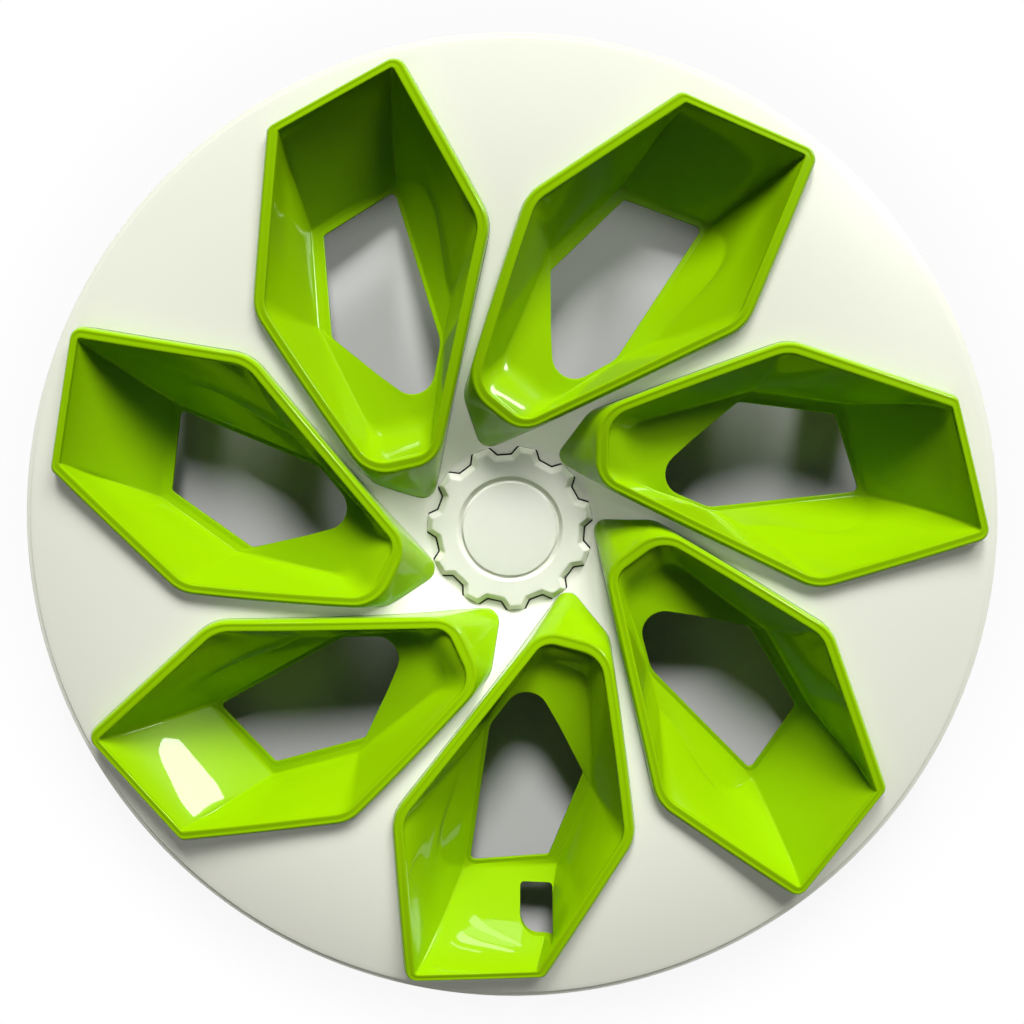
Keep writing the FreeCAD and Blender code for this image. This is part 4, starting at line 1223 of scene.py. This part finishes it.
wire_points = tube(wire_path(), WIRE_RADIUS, RING_LEVEL)
wire_faces = grid_faces(wire_points.shape[0], wire_points.shape[1], wrap_rows=True)
wire_turn = VALVE_POCKET_ANGLE + math.degrees(math.atan2(VALVE_MIDDLE[1], VALVE_MIDDLE[0]))
wire = make_piece("wire_ring", turned_shells([(wire_points, wire_faces)], wire_turn), WIRE)
stand_for(wire, "spring_wire", "tension_ring")

# %% [markdown]
# ## Floor, light and camera
# The cover lies on a white ground that goes over into a white backdrop, as in a product photo. A
# brighter lamp could whiten both, but it would wash out the disc, so the camera sees the ground as
# white light outside the cover, and as shaded ground through the holes. Mirrors see it white too.

# %% Ground
GROUND_GREY = (0.66, 0.66, 0.65, 1)
BOUNCE_GREY = (0.10, 0.10, 0.10, 1)
WHITE_LIGHT = (1, 1, 1, 1)
EDGE_FADE = (0.2325, 0.2375)
FAR_FADE = (0.236, 0.300)
FAR_SHARE = 0.09
GROUND_HALF = 6000.0


def white_ground():
    """Grey ground under the cover and white around it: the white share rises over the cover's edge,
    and slowly to its full value farther out, so the edge keeps a faint shadow. Light that bounces
    sees a darker ground, which keeps the pockets deep. The radius is (x * x + y * y) ** 0.5."""
    finish = Finish("white_ground", Roughness=0.9)
    place = {"Vector": finish.place()}
    x, y = (finish.node("ShaderNodeSeparateXYZ", {}, place, out=axis) for axis in "XY")
    radius = (x * x + y * y) ** 0.5

    def ray(kind):
        """One for rays of a kind, zero for others."""
        return finish.node("ShaderNodeLightPath", {}, {}, out=kind)

    def rise(start, end):
        """A smooth step from zero to one between two radii, in metres."""
        values = {"Value": radius, "From Min": start, "From Max": end}
        return finish.node("ShaderNodeMapRange", {"interpolation_type": "SMOOTHSTEP"}, values)

    seen = ray("Is Camera Ray")
    mirrored = ray("Is Glossy Ray") + ray("Is Transmission Ray")
    finish.feed("Base Color", finish.mix(seen, BOUNCE_GREY, GROUND_GREY))
    glow = finish.node("ShaderNodeEmission", {}, {"Color": WHITE_LIGHT, "Strength": 1.0})
    white = rise(*EDGE_FADE) * (rise(*FAR_FADE) * FAR_SHARE + (1 - FAR_SHARE))
    paint = Socket(finish, finish.shader.outputs[0])
    blend = finish.node("ShaderNodeMixShader", {}, {0: white * (seen + mirrored), 1: paint, 2: glow})
    finish.plug(blend, finish.result.inputs["Surface"])
    return finish.material


ground_plan = np.array([(-1, -1), (1, -1), (1, 1), (-1, 1)]) * GROUND_HALF
ground_shell = (np.column_stack([ground_plan, np.full(4, FOOT_LEVEL)]), [[0, 1, 2, 3]])
ground = make_piece("ground", [ground_shell], white_ground())

# %% [markdown]
# The world is a dim sky with a touch of green. A white one would be the usual choice, but the lacquer
# would mirror it and lose its depth, so only the camera sees a white backdrop.

# %% Sky
SKY = (0.85, 1.0, 0.90, 1)
SKY_STRENGTH = 0.03
scene = bpy.context.scene
scene.view_settings.view_transform = "Standard"
world = bpy.data.worlds.new("pale_sky")
scene.world = world
world.use_nodes = True
sky_tree = world.node_tree
sky_tree.nodes.remove(sky_tree.nodes["Background"])


def background(colour, strength):
    """An even background of one colour."""
    made = sky_tree.nodes.new("ShaderNodeBackground")
    made.inputs["Color"].default_value = colour
    made.inputs["Strength"].default_value = strength
    return made


sky_path = sky_tree.nodes.new("ShaderNodeLightPath")
sky_choice = sky_tree.nodes.new("ShaderNodeMixShader")
sky_tree.links.new(sky_path.outputs["Is Camera Ray"], sky_choice.inputs[0])
sky_tree.links.new(background(SKY, SKY_STRENGTH).outputs[0], sky_choice.inputs[1])
sky_tree.links.new(background(WHITE_LIGHT, 1.0).outputs[0], sky_choice.inputs[2])
sky_tree.links.new(sky_choice.outputs[0], sky_tree.nodes["World Output"].inputs["Surface"])
print("sky strength", SKY_STRENGTH)

# %% [markdown]
# Two soft suns light the cover from its upper side and its upper right. A fill softens the shadows on
# the disc, a spot and a sun without shadows lift the hub and the cap, and two more suns light the
# ground. One lamp for all would be simpler, but each of these lights only its own pieces, so that one
# can be set without upsetting the others. Bright panes far off are mirrored in the lacquer: one large
# window, and a patch with streaks.

# %% Lamps and panes
WINDOW_DISTANCE = 1300.0
SUN_DISTANCE = 2.0
SPOT_DISTANCE = 1.2


def towards(azimuth, elevation):
    """A direction from the cover: an angle round its axis and a height angle."""
    az, el = math.radians(azimuth), math.radians(elevation)
    return Vector((math.cos(el) * math.cos(az), math.cos(el) * math.sin(az), math.sin(el)))


def lamp(name, kind, direction, distance, **settings):
    """A lamp in a direction, turned so that it faces the cover."""
    data = bpy.data.lights.new(name, kind)
    for setting, value in settings.items():
        setattr(data, setting, value)
    holder = bpy.data.objects.new(name, data)
    holder.location = direction * distance
    holder.rotation_euler = direction.to_track_quat("Z", "Y").to_euler()
    scene.collection.objects.link(holder)
    return holder


def window(name, brightness, *corners):
    """A bright pane that only shows in mirrors: a polygon far off, drawn by its directions."""
    finish = Finish(name)
    glow = finish.node("ShaderNodeEmission", {}, {"Strength": brightness})
    finish.plug(glow, finish.result.inputs["Surface"])
    points = [towards(*corner) * WINDOW_DISTANCE for corner in corners]
    pane = make_piece(name, [(points, [list(range(len(points)))])], finish.material)
    for ray in ("camera", "diffuse", "transmission", "shadow"):
        setattr(pane, "visible_" + ray, False)
    return pane


def soft_sun(name, azimuth, elevation, strength, spread, shadow=True):
    """Even daylight from a patch of sky, which the lacquer doesn't mirror."""
    settings = {"energy": strength, "angle": math.radians(spread), "use_shadow": shadow}
    sun = lamp(name, "SUN", towards(azimuth, elevation), SUN_DISTANCE, **settings)
    sun.visible_glossy = False
    return sun


def only_on(light, pieces):
    """Lets a lamp light only some pieces. All pieces still cast its shadows."""
    group = bpy.data.collections.new(light.name + "_on")
    for piece in pieces:
        group.objects.link(piece)
    light.light_linking.receiver_collection = group
    return light


DISC_PIECES = [disc, fingers, bosses]
CAP_PIECES = [cap, emblem]
COVER_PIECES = DISC_PIECES + CAP_PIECES + pockets + [shadow_ring, screws, wire]
hub_spot = {
    "energy": 22.0,
    "spot_size": math.radians(7.5),
    "spot_blend": 1.0,
    "shadow_soft_size": 0.10,
}
lamps = [
    only_on(soft_sun("daylight", 90.0, 30.0, 2.9, 20.0), COVER_PIECES),
    only_on(soft_sun("daylight_right", 60.0, 32.0, 2.1, 24.0), COVER_PIECES),
    only_on(soft_sun("white_fill", 235.0, 62.0, 0.65, 60.0), DISC_PIECES),
    only_on(lamp("hub_light", "SPOT", towards(20.0, 62.0), SPOT_DISTANCE, **hub_spot), [disc]),
    only_on(soft_sun("cap_light", 84.0, 36.0, 1.15, 10.0, shadow=False), CAP_PIECES),
    only_on(soft_sun("ground_light", 86.0, 38.0, 3.1, 16.0), [ground]),
    only_on(soft_sun("under_light", 84.0, 14.0, 3.2, 8.0), [ground]),
    window(
        "window_right", 22.0,
        (47.5, 33.5), (46.5, 37.0), (40.0, 41.0), (34.0, 42.0), (34.0, 22.0), (38.0, 22.5),
    ),
    window("patch", 2.6, (98.5, 40.0), (103.5, 38.0), (104.5, 33.0), (98.0, 27.5), (96.5, 30.0)),
    window("streak_1", 6.0, (105.0, 38.5), (105.0, 36.5), (96.5, 28.5), (96.0, 29.5)),
    window("streak_2", 8.0, (105.0, 33.4), (105.0, 29.9), (97.0, 23.6), (97.0, 25.2)),
    window("streak_3", 5.0, (105.0, 27.9), (105.0, 26.6), (100.0, 22.0), (100.0, 23.2)),
]
print("lamps:", [item.name for item in lamps])

# %% [markdown]
# The camera looks down on the cover, a little from its upper side. Its place and lens were chosen so
# that one pocket, turned seven times, meets all seven places in the picture.

# %% Camera
CAMERA_PLACE = (0.0125, 0.0848, 0.6525)
TILT = math.radians(6.51)
SWING = math.radians(-0.98)
camera_data = bpy.data.cameras.new("camera")
camera_data.sensor_fit = "HORIZONTAL"
camera_data.sensor_width = 36.0
camera_data.lens = 47.59
camera = bpy.data.objects.new("camera", camera_data)
turn_in = Matrix.Rotation(TILT, 4, "X") @ Matrix.Rotation(SWING, 4, "Y")
camera.matrix_world = Matrix.Translation(CAMERA_PLACE) @ turn_in.inverted()
scene.collection.objects.link(camera)
scene.camera = camera
print("camera at", CAMERA_PLACE, "metres")
